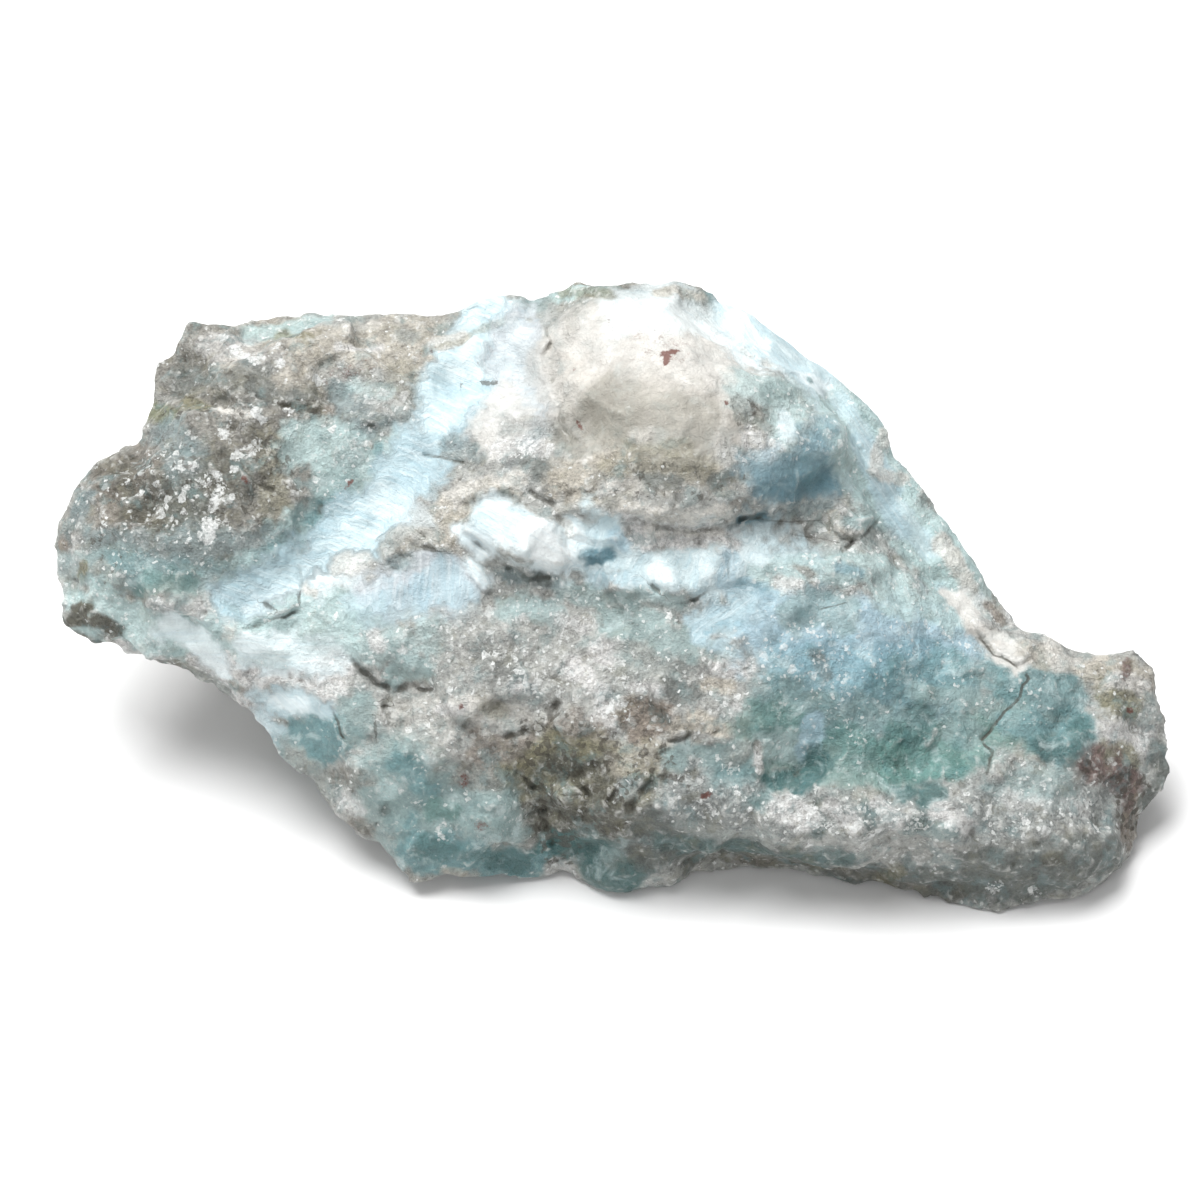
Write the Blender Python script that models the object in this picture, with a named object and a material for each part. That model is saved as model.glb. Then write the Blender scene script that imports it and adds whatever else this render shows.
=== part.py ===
"""Rough larimar: one broken lump of blue pectolite with grey host rock on its rims, lying on a small flat.

All lengths are in millimetres until the mesh is made, and the finished mesh is in metres with +Z up.
The stone's broad broken face leans back. Points on it are given as (across, up, out): across runs along +X,
up runs up the leaning face, and out stands square to it. Points on the hidden back and underside are given
as (x, y, z), with z the height above the surface that the stone lies on.
"""

import math

import bmesh
import bpy
import numpy as np
from mathutils import Vector, noise
from mathutils.geometry import delaunay_2d_cdt

MM = 0.001
FACE_RISE = math.radians(50.0)  # how far the broad face's outward direction points above the horizon
FACE_CENTRE_HEIGHT = 21.7  # height of the broad face's reference point
CAGE_VOXEL = 0.65  # spacing of the points that the fracture relief is carved with
TRIANGLES = 9600
RESTING_CUT = 0.25  # everything lower than this on the underside is worn flat

# The break-up of the surface. Scars are (size, lean) and lumps are (wavelength, height).
SCARS = [(9.0, 0.34), (4.6, 0.34)]
LUMPS = [(12.0, 0.6), (5.0, 0.4)]
RIM_GROWTH = 1.0  # how far the cage's rim is drawn outside the outline, which the softening takes back
RIM_REACH = 3.0  # the break-up fades out within this of the rim, whose own points draw its shape
RIM_SHARE = 0.35
FACET_STEP = 0.10  # how far one scar stands above the next, in scar sizes
FACET_RAMP = 0.22  # width of the ramp between two scars, in scar sizes
HALF = Vector((0.5, 0.5, 0.5))
CELL_SPREAD = 7.3  # takes the random values of two neighbouring scars from cells far apart
SCAR_PLACE = Vector((3.1, 9.7, 1.3))  # where in the noise the scars are taken from
LUMP_PLACE = Vector((0.0, 7.7, 5.3))  # and where the lumps are
SOFTENING = 7  # passes that round the cage's own edges
SOFTENING_LOSS = 0.3  # what those passes take off, given back

# Places where the crystal broke more cleanly, as across, up, out, radius and the share of roughness left.
CLEAN_BREAKS = {
    "boss": (6.5, 20.5, 2.0, 9.0, 0.3),
    "silky band": (-20.0, 12.0, -1.0, 8.0, 0.5),
    "shoulder": (-8.0, 18.0, 0.0, 5.0, 0.5),
    "teal face": (28.0, -9.0, 2.0, 12.0, 0.45),
}

STONE_COLOUR = (0.47, 0.56, 0.56, 1.0)
STONE_ROUGHNESS = 0.72

# The rim of the broad face, clockwise from its left end, as (across, up, out).
RIM = [
    (-54.9, 2.2, -6.0), (-54.3, 5.5, -6.5), (-53.3, 8.5, -6.8), (-51.0, 12.4, -7.2), (-50.0, 13.5, -7.4),
    (-47.8, 14.7, -7.6), (-45.6, 17.6, -8.2), (-45.5, 18.6, -9.0), (-44.8, 19.2, -9.0),
    (-44.6, 22.9, -9.4), (-42.4, 26.4, -10.0), (-42.4, 27.9, -10.4), (-40.7, 28.8, -10.6),
    (-35.5, 28.4, -11.0), (-33.8, 27.8, -11.0), (-30.0, 27.8, -11.0), (-28.0, 28.4, -11.0),
    (-24.2, 28.8, -11.0), (-21.0, 28.0, -10.6), (-17.0, 27.8, -10.2), (-14.0, 28.5, -10.0),
    (-12.2, 30.1, -10.0), (-8.5, 30.1, -10.0), (-4.7, 31.2, -10.0), (-2.8, 31.6, -9.8), (2.0, 31.4, -9.0),
    (10.0, 31.0, -9.0), (12.0, 30.3, -9.0), (16.0, 27.8, -9.0), (17.9, 26.3, -9.0), (19.0, 24.8, -9.0),
    (24.0, 21.3, -8.6), (27.2, 18.4, -8.2), (28.6, 16.0, -8.0), (29.6, 13.8, -8.0), (31.8, 11.4, -8.0),
    (33.5, 9.0, -8.0), (36.5, 3.5, -7.6), (38.0, 0.8, -7.2), (39.6, -0.7, -7.0), (40.7, -2.9, -7.0),
    (42.2, -4.2, -6.6), (46.8, -5.3, -6.2), (48.5, -5.8, -6.2), (50.5, -6.7, -6.0), (54.3, -6.2, -6.4),
    (54.9, -6.8, -6.2), (55.0, -10.0, -6.0), (57.1, -14.6, -6.0), (57.5, -16.2, -6.0),
    (56.9, -18.2, -6.0), (53.8, -21.8, -6.0), (53.4, -24.0, -6.0), (53.0, -25.3, -5.6),
    (50.6, -27.0, -4.8), (47.2, -29.2, -3.0), (44.0, -29.9, -2.6), (40.0, -31.4, -1.8),
    (37.5, -30.7, -2.2), (27.0, -28.7, -3.4), (24.8, -27.6, -3.8), (22.8, -26.6, -4.4),
    (14.0, -25.9, -5.0), (11.0, -26.8, -4.8), (6.0, -28.0, -4.2), (1.5, -28.8, -4.0), (-0.3, -28.3, -4.0),
    (-1.8, -27.2, -4.2), (-3.9, -26.4, -4.4), (-7.6, -27.6, -3.8), (-8.7, -28.5, -3.2),
    (-10.8, -28.6, -2.8), (-11.5, -28.0, -2.6), (-19.0, -27.2, -2.2), (-19.9, -26.0, -2.0),
    (-22.2, -23.6, -2.0), (-24.4, -21.6, -2.0), (-26.4, -19.4, -2.0), (-31.6, -15.0, -2.2),
    (-35.1, -10.6, -2.2), (-36.1, -9.0, -4.4), (-39.3, -6.9, -4.4), (-41.7, -5.5, -1.8),
    (-44.0, -5.2, -1.6), (-48.0, -4.1, -2.0), (-50.3, -4.5, -5.6), (-52.0, -3.4, -6.4),
    (-53.4, -2.0, -6.6), (-54.1, -0.2, -5.6),
]

# Ridges, ledges, hollows and bosses of the broad face. Each line is followed by an edge of the relief.
FACE_RELIEF = {
    "upper terrace crest": [(-40, 25.5, -6.8), (-35, 25.8, -6.3), (-29, 25.5, -6.3), (-23, 25.5, -6.5),
                            (-17.5, 25.5, -7.0)],
    "upper terrace foot": [(-42.5, 20.2, -6.8), (-38.5, 20.2, -4.2), (-34, 20.4, -3.9), (-29, 20, -3.9),
                           (-25, 20.5, -4.2), (-20, 21, -5.0)],
    "lower terrace shelf": [(-44, 17.5, -5.5), (-40, 18.2, -2.2), (-35, 18.5, -1.8), (-30, 18, -2.0),
                            (-26, 17.5, -2.8)],
    "lower terrace": [(-48, 12, -3.6), (-43, 13, -0.6), (-37, 13, 0.3), (-31, 13, -0.6), (-26, 14, -1.6),
                      (-22, 16, -2.8)],
    "lower terrace belly": [(-52, 7, -4.0), (-48, 7, -0.8), (-42, 7, 1.0), (-36, 7, 1.0), (-30, 9, 0.0),
                            (-25, 11, -1.2)],
    "teal strip": [(-52.5, 2.5, -3.0), (-48, 2.5, -0.2), (-42, 2.5, 0.9), (-37, 2.5, 0.8)],
    "strip step": [(-51.5, 0.2, -1.9), (-46, -0.6, -0.4), (-41, -0.8, 0.2), (-37.8, -1.2, 0.3)],
    "pale strip": [(-48, -2.6, -0.9), (-43, -3.8, -0.3), (-38.5, -5.0, -0.4)],
    "left knife edge": [(-53.2, -0.6, -3.2), (-50.2, -3.2, -2.6)],
    "lower knife edge": [(-38.2, -6.6, -1.4), (-36.8, -8.2, -1.6)],
    "silky band": [(-33.8, 0, 0.3), (-30, 4, -0.2), (-25, 8, -0.8), (-20, 12, -1.8), (-16, 17, -2.8),
                   (-13, 22, -4.2), (-10, 26.5, -6.0)],
    "band's far side": [(-27, 1, 1.2), (-20, 6, 1.0), (-16, 10, 0.8), (-12, 14, 0.6), (-11, 18, -0.8),
                        (-8, 23, -3.4)],
    "shoulder": [(-7.4, 18, 0.0), (-7, 14, 1.6)],
    "boss crease": [(-4.8, 28.5, -7.0), (-5.2, 25.5, -5.0), (-4.4, 20, -1.6), (-2.6, 16, 0.2),
                    (0, 14.3, 2.2)],
    "boss brow": [(-1, 29, -5.0), (6, 29.5, -4.4), (12, 27.5, -4.4)],
    "boss top": [(0, 26.5, -1.8), (7, 26.5, -0.8), (13, 25, -1.8)],
    "boss upper front": [(-3, 23.5, -0.8), (2, 23, 2.0), (8, 22.5, 2.9), (14, 22, 1.4)],
    "boss front": [(-1.5, 19, 1.8), (3, 18, 4.4), (9, 18, 5.2), (14.5, 18, 3.6)],
    "boss lower front": [(2.4, 14.6, 4.8), (7, 14, 5.8), (12.5, 14, 5.2)],
    "boss granular foot": [(-5, 12.5, 2.2), (-1, 11.5, 4.0), (4, 10.9, 5.6), (10, 10.2, 5.5),
                           (14.5, 10.6, 4.4)],
    "boss lip": [(-4.5, 10, 2.6), (0, 9.2, 4.4), (4, 8.6, 5.0), (9, 7.8, 5.0), (13.5, 8.6, 4.2)],
    "boss crevice": [(0.5, 8.0, 2.4), (4.5, 7.2, 2.4), (9, 6.4, 2.2), (14.5, 7.2, 1.3), (20, 7.4, 0.1),
                     (25, 6.2, -1.2)],
    "blue flank upper": [(17.5, 21.5, -0.8), (21, 20.5, -2.4), (24.5, 19.4, -5.0)],
    "blue flank middle": [(17, 17, 2.6), (20, 17, 1.4), (23.5, 16.5, -1.2), (26.2, 15.6, -5)],
    "blue flank lower": [(18, 13.5, 3.2), (22, 13.5, 1.2), (25.5, 13.0, -2.0)],
    "blue flank foot": [(17.5, 10, 2.8), (21.5, 10, 0.7), (26, 9.6, -2.0)],
    "back slope ridge": [(28.5, 12, -5.0), (30.5, 8, -4.6), (33.5, 4.5, -4.6), (35.8, 1.6, -4.6)],
    "ledge": [(-1, 5.5, 3.0), (5, 4.5, 3.6), (11, 4, 3.4), (17, 4.5, 2.2), (23, 4.4, 0.4)],
    "ledge edge": [(-2, 0.5, 4.2), (4, 0.2, 5.0), (10, 0.8, 5.2), (16, 1, 4.2), (23, 1.5, 2.2),
                   (28, 3, -0.6)],
    "ledge riser": [(-2, -0.8, 3.4), (4, -1.2, 3.9), (10, -0.6, 4.1)],
    "flake rim": [(-12.5, 8, 2.6), (-8.5, 9.8, 3.0), (-4, 8, 3.6)],
    "flake crown": [(-8, 5.5, 5.0), (-4, 4.2, 4.4)],
    "flake toe": [(-7.5, 2.8, 4.6)],
    "flake crevice": [(-12.4, 4, 2.0), (-8.2, 1.2, 2.6)],
    "left plateau": [(-33, -5, 0.8), (-27, -3, 2.2), (-21, 0, 3.0), (-15, 2, 3.0)],
    "left plateau foot": [(-30, -7, 1.6), (-24, -6.5, 3.2), (-17, -4, 3.8), (-10, -2, 4.2)],
    "groove": [(-23, -8.4, 2.2), (-20, -9.2, 2.2), (-17, -9.0, 3.0)],
    "cheek ridge": [(-34.5, -8.6, -0.8), (-31, -9.6, 0.8), (-27, -10.5, 2.6), (-25.8, -14.5, 2.6),
                    (-25, -18.0, 1.0)],
    "cheek": [(-32, -12.4, -0.5), (-29, -14, 0.6), (-27.4, -17.4, -0.2)],
    "middle, upper row": [(-20, -12, 4.0), (-14, -9.6, 4.6), (-7, -9, 5.4), (0, -8, 6.0), (6, -7, 6.2),
                          (12, -6, 6.0)],
    "middle, lower row": [(-20, -17, 3.0), (-14, -16, 4.4), (-8, -14.5, 4.4), (-1, -14, 6.0), (5, -14, 7.0),
                          (11, -14, 6.6)],
    "vug rim": [(-6, -18.5, 3.0), (-1, -18, 4.6), (0, -21.5, 3.0)],
    "vug floor": [(-7.5, -22, 0.6), (-4, -23, -0.8)],
    "lower left lobe": [(-22.6, -20.6, 0.8), (-18, -21, 2.2), (-13, -21, 2.8)],
    "lower left toe": [(-20, -24.4, 0.0), (-16.6, -25.2, 0.2), (-12, -25.5, 0.4)],
    "knob beside the notch": [(0, -26, -0.2), (4, -25, 1.8)],
    "front crest": [(4, -20, 6.2), (10, -21, 6.0), (16, -22.6, 5.4), (20, -21.5, 5.6), (24, -21.2, 7.0),
                    (30, -22, 6.6), (37, -23.2, 6.0), (44, -23.2, 4.4), (49.5, -24, 1.0)],
    "front wall": [(10, -25, 1.4), (18, -25, 2.4), (28, -26, 2.4), (36, -27.5, 2.4), (42, -28, 1.4),
                   (48, -27, 0)],
    "hollow, upper row": [(18, -2, 4.0), (25, -2, 2.6), (31, -1, -0.2)],
    "hollow, second row": [(20, -8, 4.6), (27, -7, 3.0), (34, -5.5, 0.2), (38.5, -5.6, -1.8)],
    "hollow, third row": [(16, -14, 5.4), (23, -14, 3.6), (29, -13, 1.8), (33.5, -12, 0.6)],
    "hollow's little step": [(37.5, -10, 0.6), (35.4, -14.5, 2.4)],
    "hollow, lower row": [(20, -18.0, 3.6), (27, -18, 4.0), (32, -18.6, 3.4), (37, -18, 3.6),
                          (43, -16, 1.8)],
    "tail, upper row": [(42, -9, -0.2), (48, -10, -1.4), (52, -9, -3.0)],
    "tail back": [(46, -7, -3.0)],
    "tail, lower row": [(48, -14, -1.0), (51, -14, -1.2), (54, -16, -2.8)],
    "tail foot": [(46, -20, 3.2), (51, -19, -1.8), (51.5, -22, -2.6)],
    "white vein": [(36.5, -1.6, -2.8), (39, -3.9, -2.6), (42, -5.5, -3.2)],
}

# The hidden side, as (x, y, z): the underside first, then the back wall from foot to brow.
HIDDEN_RELIEF = {
    "resting flat": [(-12, -6, -1.3), (4, -8, -1.3), (18, -5, -1.3), (19, 6, -1.3), (7, 13, -1.3),
                     (-10, 11, -1.3)],
    "around the flat": [(-16, -12, 1.2), (4, -15, 0.9), (22, -14, 0.9), (31, -10, 1.2), (29, 7, 1.5),
                        (11, 20, 1.8)],
    "underside rise": [(-16, 17, 2.4), (-21, 3, 1.9), (-4, 22, 3.0), (23, 16, 2.6)],
    "toe": [(-14, -16.4, 2.6), (38, -16, 1.2)],
    "right end underside": [(50, -12, 3.0), (44, 1, 3.0), (36, 4, 2.4), (38, -6, 1.4)],
    "right end back": [(50, 2, 6)],
    "back wall foot": [(30, 14, 4.0), (18, 24, 5.0), (0, 29, 6.0), (-20, 27, 6.5), (-34, 21, 8)],
    "back wall waist": [(38, 9, 9), (32, 18, 12), (20, 29, 15), (4, 34, 17), (-14, 34, 16), (-30, 31, 18),
                        (-40, 26, 18)],
    "left underside": [(-50, 7, 12), (-42, 5, 9), (-36, 2, 7), (-30, -4, 4.4), (-24, -10, 3.0)],
    "left underside, inner": [(-48, 18, 17), (-44, 16, 9), (-30, 10, 5), (-24, 4, 2.8)],
}


def face_to_space(across, up, out):
    """The point in space, in millimetres, of a point given on the leaning face."""
    y = up * math.sin(FACE_RISE) - out * math.cos(FACE_RISE)
    z = up * math.cos(FACE_RISE) + out * math.sin(FACE_RISE) + FACE_CENTRE_HEIGHT
    return (across, y, z)


def space_to_face(x, y, z):
    """The reverse of face_to_space."""
    z -= FACE_CENTRE_HEIGHT
    up = y * math.sin(FACE_RISE) + z * math.cos(FACE_RISE)
    out = -y * math.cos(FACE_RISE) + z * math.sin(FACE_RISE)
    return (x, up, out)


def grown_rim():
    """The rim's points, each moved outward in the plane of the face."""
    grown = []
    for number, (across, up, out) in enumerate(RIM):
        before, after = Vector(RIM[number - 1]).xy, Vector(RIM[(number + 1) % len(RIM)]).xy
        along = (after - before).normalized()
        grown.append((across - along.y * RIM_GROWTH, up + along.x * RIM_GROWTH, out))
    return grown


def sheet(lines, edged):
    """(points, triangles) of a sheet across the rim through the given lines, with edges along them if edged."""
    points = grown_rim()
    edges = []
    for line in lines:
        first = len(points)
        points.extend(line)
        if edged:
            edges.extend((i, i + 1) for i in range(first, len(points) - 1))
    rim = list(range(len(RIM)))[::-1]
    flat = [Vector((p[0], p[1])) for p in points]
    made, _, triangles, sources, _, _ = delaunay_2d_cdt(flat, edges, [rim], 1, 1e-4)
    assert len(made) == len(points), "two lines of the relief cross, or one leaves the rim"
    source = [s[0] for s in sources]
    return points, [[source[i] for i in t] for t in triangles]


def cage_mesh():
    """The stone's coarse facets: the broad face and the hidden side, joined along the rim."""
    hidden_lines = [[space_to_face(*p) for p in line] for line in HIDDEN_RELIEF.values()]
    face_points, face_triangles = sheet(FACE_RELIEF.values(), edged=True)
    back_points, back_triangles = sheet(hidden_lines, edged=False)
    shared = len(RIM)
    shift = len(face_points) - shared
    points = face_points + back_points[shared:]
    back = [[i if i < shared else i + shift for i in t[::-1]] for t in back_triangles]
    mesh = bpy.data.meshes.new("cage")
    mesh.from_pydata([Vector(face_to_space(*p)) * MM for p in points], [], face_triangles + back)
    return mesh


def evaluated(mesh, name, kind, **settings):
    """A copy of the mesh with one modifier applied."""
    guide = bpy.data.objects.new(name, mesh)
    bpy.context.scene.collection.objects.link(guide)
    modifier = guide.modifiers.new(name, kind)
    for key, value in settings.items():
        setattr(modifier, key, value)
    graph = bpy.context.evaluated_depsgraph_get()
    result = bpy.data.meshes.new_from_object(guide.evaluated_get(graph))
    bpy.data.objects.remove(guide)
    return result


def points_of(mesh, what="co"):
    values = np.empty(len(mesh.vertices) * 3, np.float32)
    mesh.vertices.foreach_get(what, values)
    return values.reshape(-1, 3).astype(float)


def set_points(mesh, points):
    mesh.vertices.foreach_set("co", points.astype(np.float32).ravel())
    mesh.update()


def noise_at(points, wavelength, offset):
    """Smooth noise from -1 to 1 with the given wavelength, in millimetres."""
    return np.array([noise.noise(Vector(p) / wavelength + offset) for p in points])


def facet_height(point, lean, offset):
    """Height, in facet sizes, of the flat scar that a point lies on, with a short ramp to the next scar."""
    place = Vector(point) + offset
    distances, centres = noise.voronoi(place)
    heights = []
    for centre in centres[:2]:
        tilt = noise.cell_vector(centre * CELL_SPREAD) - HALF
        step = noise.cell(centre * CELL_SPREAD + HALF) - 0.5
        heights.append(lean * tilt.dot(place - centre) + FACET_STEP * step)
    ramp = min((distances[1] - distances[0]) / FACET_RAMP, 1.0)
    return heights[0] * (1 + ramp) / 2 + heights[1] * (1 - ramp) / 2


def facets_at(points, size, lean, offset):
    return np.array([size * facet_height(p / size, lean, offset) for p in points])


def rim_distance(points):
    """How far each point is from the rim."""
    corners = np.array([face_to_space(*corner) for corner in grown_rim()])
    steps = np.linspace(0, 1, 4, endpoint=False)[:, None, None]
    line = (corners * (1 - steps) + np.roll(corners, -1, axis=0) * steps).reshape(-1, 3)
    return np.array([np.linalg.norm(line - point, axis=1).min() for point in points])


def brokenness(points):
    """How rough the break is at each point: 1 over most of the stone, less at the clean breaks and the rim."""
    share = RIM_SHARE + (1 - RIM_SHARE) * np.clip(rim_distance(points) / RIM_REACH, 0, 1)
    for *place, radius, calm in CLEAN_BREAKS.values():
        distance = np.linalg.norm(points - face_to_space(*place), axis=1)
        share *= 1 - (1 - calm) * np.exp(-((distance / radius) ** 2))
    return share


def push(mesh, heights):
    """Moves the surface along its normals by the given heights, in millimetres."""
    set_points(mesh, points_of(mesh) + points_of(mesh, "normal") * heights[:, None] * MM)


def keep_largest_piece(mesh):
    """Drops the specks that the remeshing leaves beside a thin edge."""
    work = bmesh.new()
    work.from_mesh(mesh)
    left = set(work.verts)
    pieces = []
    while left:
        piece = {left.pop()}
        front = set(piece)
        while front:
            front = {edge.other_vert(vert) for vert in front for edge in vert.link_edges} - piece
            piece |= front
        left -= piece
        pieces.append(piece)
    pieces.sort(key=len)
    for piece in pieces[:-1]:
        bmesh.ops.delete(work, geom=list(piece), context="VERTS")
    work.to_mesh(mesh)
    work.free()


def carved_mesh():
    """The coarse facets, broken up into the lumps, scars and pits of a real fracture surface."""
    mesh = evaluated(cage_mesh(), "cage", "REMESH", mode="VOXEL", voxel_size=CAGE_VOXEL * MM)
    keep_largest_piece(mesh)
    mesh = evaluated(mesh, "soften", "SMOOTH", factor=0.5, iterations=SOFTENING)
    push(mesh, np.full(len(mesh.vertices), SOFTENING_LOSS))
    for number, (size, lean) in enumerate(SCARS, start=1):
        points = points_of(mesh) / MM
        push(mesh, brokenness(points) * facets_at(points, size, lean, SCAR_PLACE * number))
    for number, (wavelength, height) in enumerate(LUMPS, start=1):
        points = points_of(mesh) / MM
        push(mesh, brokenness(points) * height * noise_at(points, wavelength, LUMP_PLACE * number))
    share = TRIANGLES / (2 * len(mesh.polygons))
    return evaluated(mesh, "thin out", "DECIMATE", ratio=share, use_collapse_triangulate=True)


def rest_and_centre(mesh):
    """Wears the lowest points flat and puts the origin under the middle of the stone."""
    points = points_of(mesh) / MM
    points[:, 2] = np.maximum(points[:, 2], RESTING_CUT)
    middle = (points.min(0) + points.max(0)) / 2
    points -= (middle[0], middle[1], RESTING_CUT)
    set_points(mesh, points * MM)


def stone_material():
    material = bpy.data.materials.new("larimar")
    material.use_nodes = True
    shader = material.node_tree.nodes["Principled BSDF"]
    shader.inputs["Base Color"].default_value = STONE_COLOUR
    shader.inputs["Roughness"].default_value = STONE_ROUGHNESS
    shader.inputs["Metallic"].default_value = 0.0
    return material


def build():
    for existing in list(bpy.data.objects):
        bpy.data.objects.remove(existing)
    mesh = carved_mesh()
    rest_and_centre(mesh)
    mesh.materials.clear()
    mesh.materials.append(stone_material())
    stone = bpy.data.objects.new("larimar_stone", mesh)
    bpy.context.scene.collection.objects.link(stone)


build()
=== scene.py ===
import math

import bmesh
import bpy
import numpy as np
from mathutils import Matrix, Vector, noise
from mathutils.bvhtree import BVHTree


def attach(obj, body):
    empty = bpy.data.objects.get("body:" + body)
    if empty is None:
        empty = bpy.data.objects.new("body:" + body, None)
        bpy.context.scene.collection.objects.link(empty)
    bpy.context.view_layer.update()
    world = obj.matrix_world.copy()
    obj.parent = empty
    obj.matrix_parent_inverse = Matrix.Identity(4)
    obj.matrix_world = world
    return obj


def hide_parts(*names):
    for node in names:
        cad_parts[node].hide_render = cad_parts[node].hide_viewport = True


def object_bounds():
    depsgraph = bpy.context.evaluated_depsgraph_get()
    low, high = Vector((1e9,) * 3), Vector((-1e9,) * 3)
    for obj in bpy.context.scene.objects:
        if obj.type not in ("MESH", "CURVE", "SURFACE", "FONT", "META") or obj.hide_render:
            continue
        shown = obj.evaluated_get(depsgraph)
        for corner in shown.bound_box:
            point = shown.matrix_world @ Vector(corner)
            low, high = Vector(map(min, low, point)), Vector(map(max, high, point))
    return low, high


# The looks of a rough larimar: one stone piece with its fine break-up, its mineral zones and its finish.
#
# Places on the stone are given in millimetres as (across, up) on the broad face that leans back, as the
# camera sees it: across runs to the right, up runs up the leaning face, and out stands square to it.

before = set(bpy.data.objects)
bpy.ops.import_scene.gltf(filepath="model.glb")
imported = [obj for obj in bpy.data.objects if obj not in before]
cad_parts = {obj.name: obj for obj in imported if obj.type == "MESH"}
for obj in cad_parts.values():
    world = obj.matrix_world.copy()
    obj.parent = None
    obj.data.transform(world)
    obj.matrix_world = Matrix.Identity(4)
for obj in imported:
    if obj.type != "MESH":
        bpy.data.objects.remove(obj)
cad_low, cad_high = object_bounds()

MM = 0.001
FACE_RISE = math.radians(50.0)  # how far the broad face's outward direction points above the horizon
FACE_POINT = cad_low + Vector((55.02, 23.08, 21.45)) * MM  # where across, up and out are all zero
VIEW_DISTANCE = 1000.0  # from the camera to that point
VIEW_WIDTH = 120.0  # what the picture spans there
SENSOR = 36.0

# Lights: place in metres from the face's point, size in metres and power.
LIGHTS = {
    "overhead": ((-0.2, 0.22, 0.76), 0.65, 11.8),
    "front": ((-0.2, -0.8, 0.5), 0.7, 1.4),
}
ROOM_LIGHT = 0.4  # the even white light from all sides
FLOOR_HALF = 3.0  # metres from the floor's middle to its sides
FLOOR_GREY = 0.86

FINE_VOXEL = 0.33  # spacing of the points that the fine relief is carved with
PADDING = 0.3  # what thin lips gain on each side while the points are laid
WELD = 0.001  # points of the solid that are closer than this are one
CAD_SOFTENING = 6  # passes that round off the solid's own triangles
HOLLOW_PASSES = (4, 24)  # passes of smoothing that show the fine and the broad hollows
TRIANGLES = 190000
FOLD = 0.15  # below this cosine between a triangle and its corner, the mesh counts as folded there
DEPTH_SHARE = 0.6  # depth counts less than across and up, so that zones reach down steep slopes
HALF = Vector((0.5, 0.5, 0.5))

# Strokes of the mineral zones
RAGGED_RADIUS = 3.0  # wider strokes stray by all of the tangle, and thinner ones by their share of it
FRAY_SHARE = 0.55  # how far an edge is frayed, as a share of the stroke's radius
MOST_FRAY = 1.5
STROKE_EDGE = (1.2, 0.6)  # where a stroke starts and where it is full, in radii
SPOT_EDGE = (1.3, 0.5)

# Relief finer than the solid, in millimetres
FACET_DEPTH = 0.5
FACET_STEP = 0.12  # what neighbouring facets are set off by, in cell sizes
FACET_RAMP = 0.16  # how wide the ramp between them is, in cell sizes
FACET_SEED = 7.3
COARSE_FACETS = (2.6, 0.5, 11.0)  # size, lean, and where the noise is read
FINE_FACETS = (1.15, 0.6, 17.0)
FIBRE_SIZE = (0.55, 6.0, 3.0)  # of one bundle of fibres: across it, along it and into the stone
LINE_UNEVENNESS = 0.12  # what the drawn cracks, steps and plates stray by
THINNEST_CRACK = 0.3  # half the width that the mesh can still show
CRACK_REACH = 2.5  # points farther from a crack aren't measured to it
STONE_IOR = 1.55
BUMP_DEPTH = 0.00042  # metres


def smooth(low, high, value):
    """0 up to low, 1 from high on, and an even S between them. High may be the lower of the two."""
    share = np.clip((value - low) / (high - low), 0, 1)
    return share * share * (3 - 2 * share)


# Where things are, seen from the camera

ACROSS = np.array((1.0, 0.0, 0.0))
UP = np.array((0.0, math.sin(FACE_RISE), math.cos(FACE_RISE)))
OUT = np.array((0.0, -math.cos(FACE_RISE), math.sin(FACE_RISE)))


def points_of(mesh, what="co"):
    values = np.empty(len(mesh.vertices) * 3, np.float32)
    mesh.vertices.foreach_get(what, values)
    return values.reshape(-1, 3).astype(float)


def face_points(mesh):
    """The mesh's points in millimetres, as (across, up, out)."""
    gaps = (points_of(mesh) - FACE_POINT) / MM
    return np.stack((gaps @ ACROSS, gaps @ UP, gaps @ OUT), axis=1)


def face_normals(mesh):
    normals = points_of(mesh, "normal")
    return np.stack((normals @ ACROSS, normals @ UP, normals @ OUT), axis=1)


def facing(mesh):
    """1 where the surface faces the camera, and 0 where it turns away."""
    return smooth(-0.1, 0.15, face_normals(mesh)[:, 2])


def move(mesh, shifts):
    """Moves the mesh's points by (across, up, out) shifts, in millimetres."""
    axes = np.stack((ACROSS, UP, OUT))
    mesh.vertices.foreach_set("co", (points_of(mesh) + shifts @ axes * MM).astype(np.float32).ravel())
    mesh.update()


def as_seen(points):
    """The (across, up) of the sight line that each (across, up, out) point is on."""
    return points[:, :2] * (VIEW_DISTANCE / (VIEW_DISTANCE - points[:, 2:]))


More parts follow.
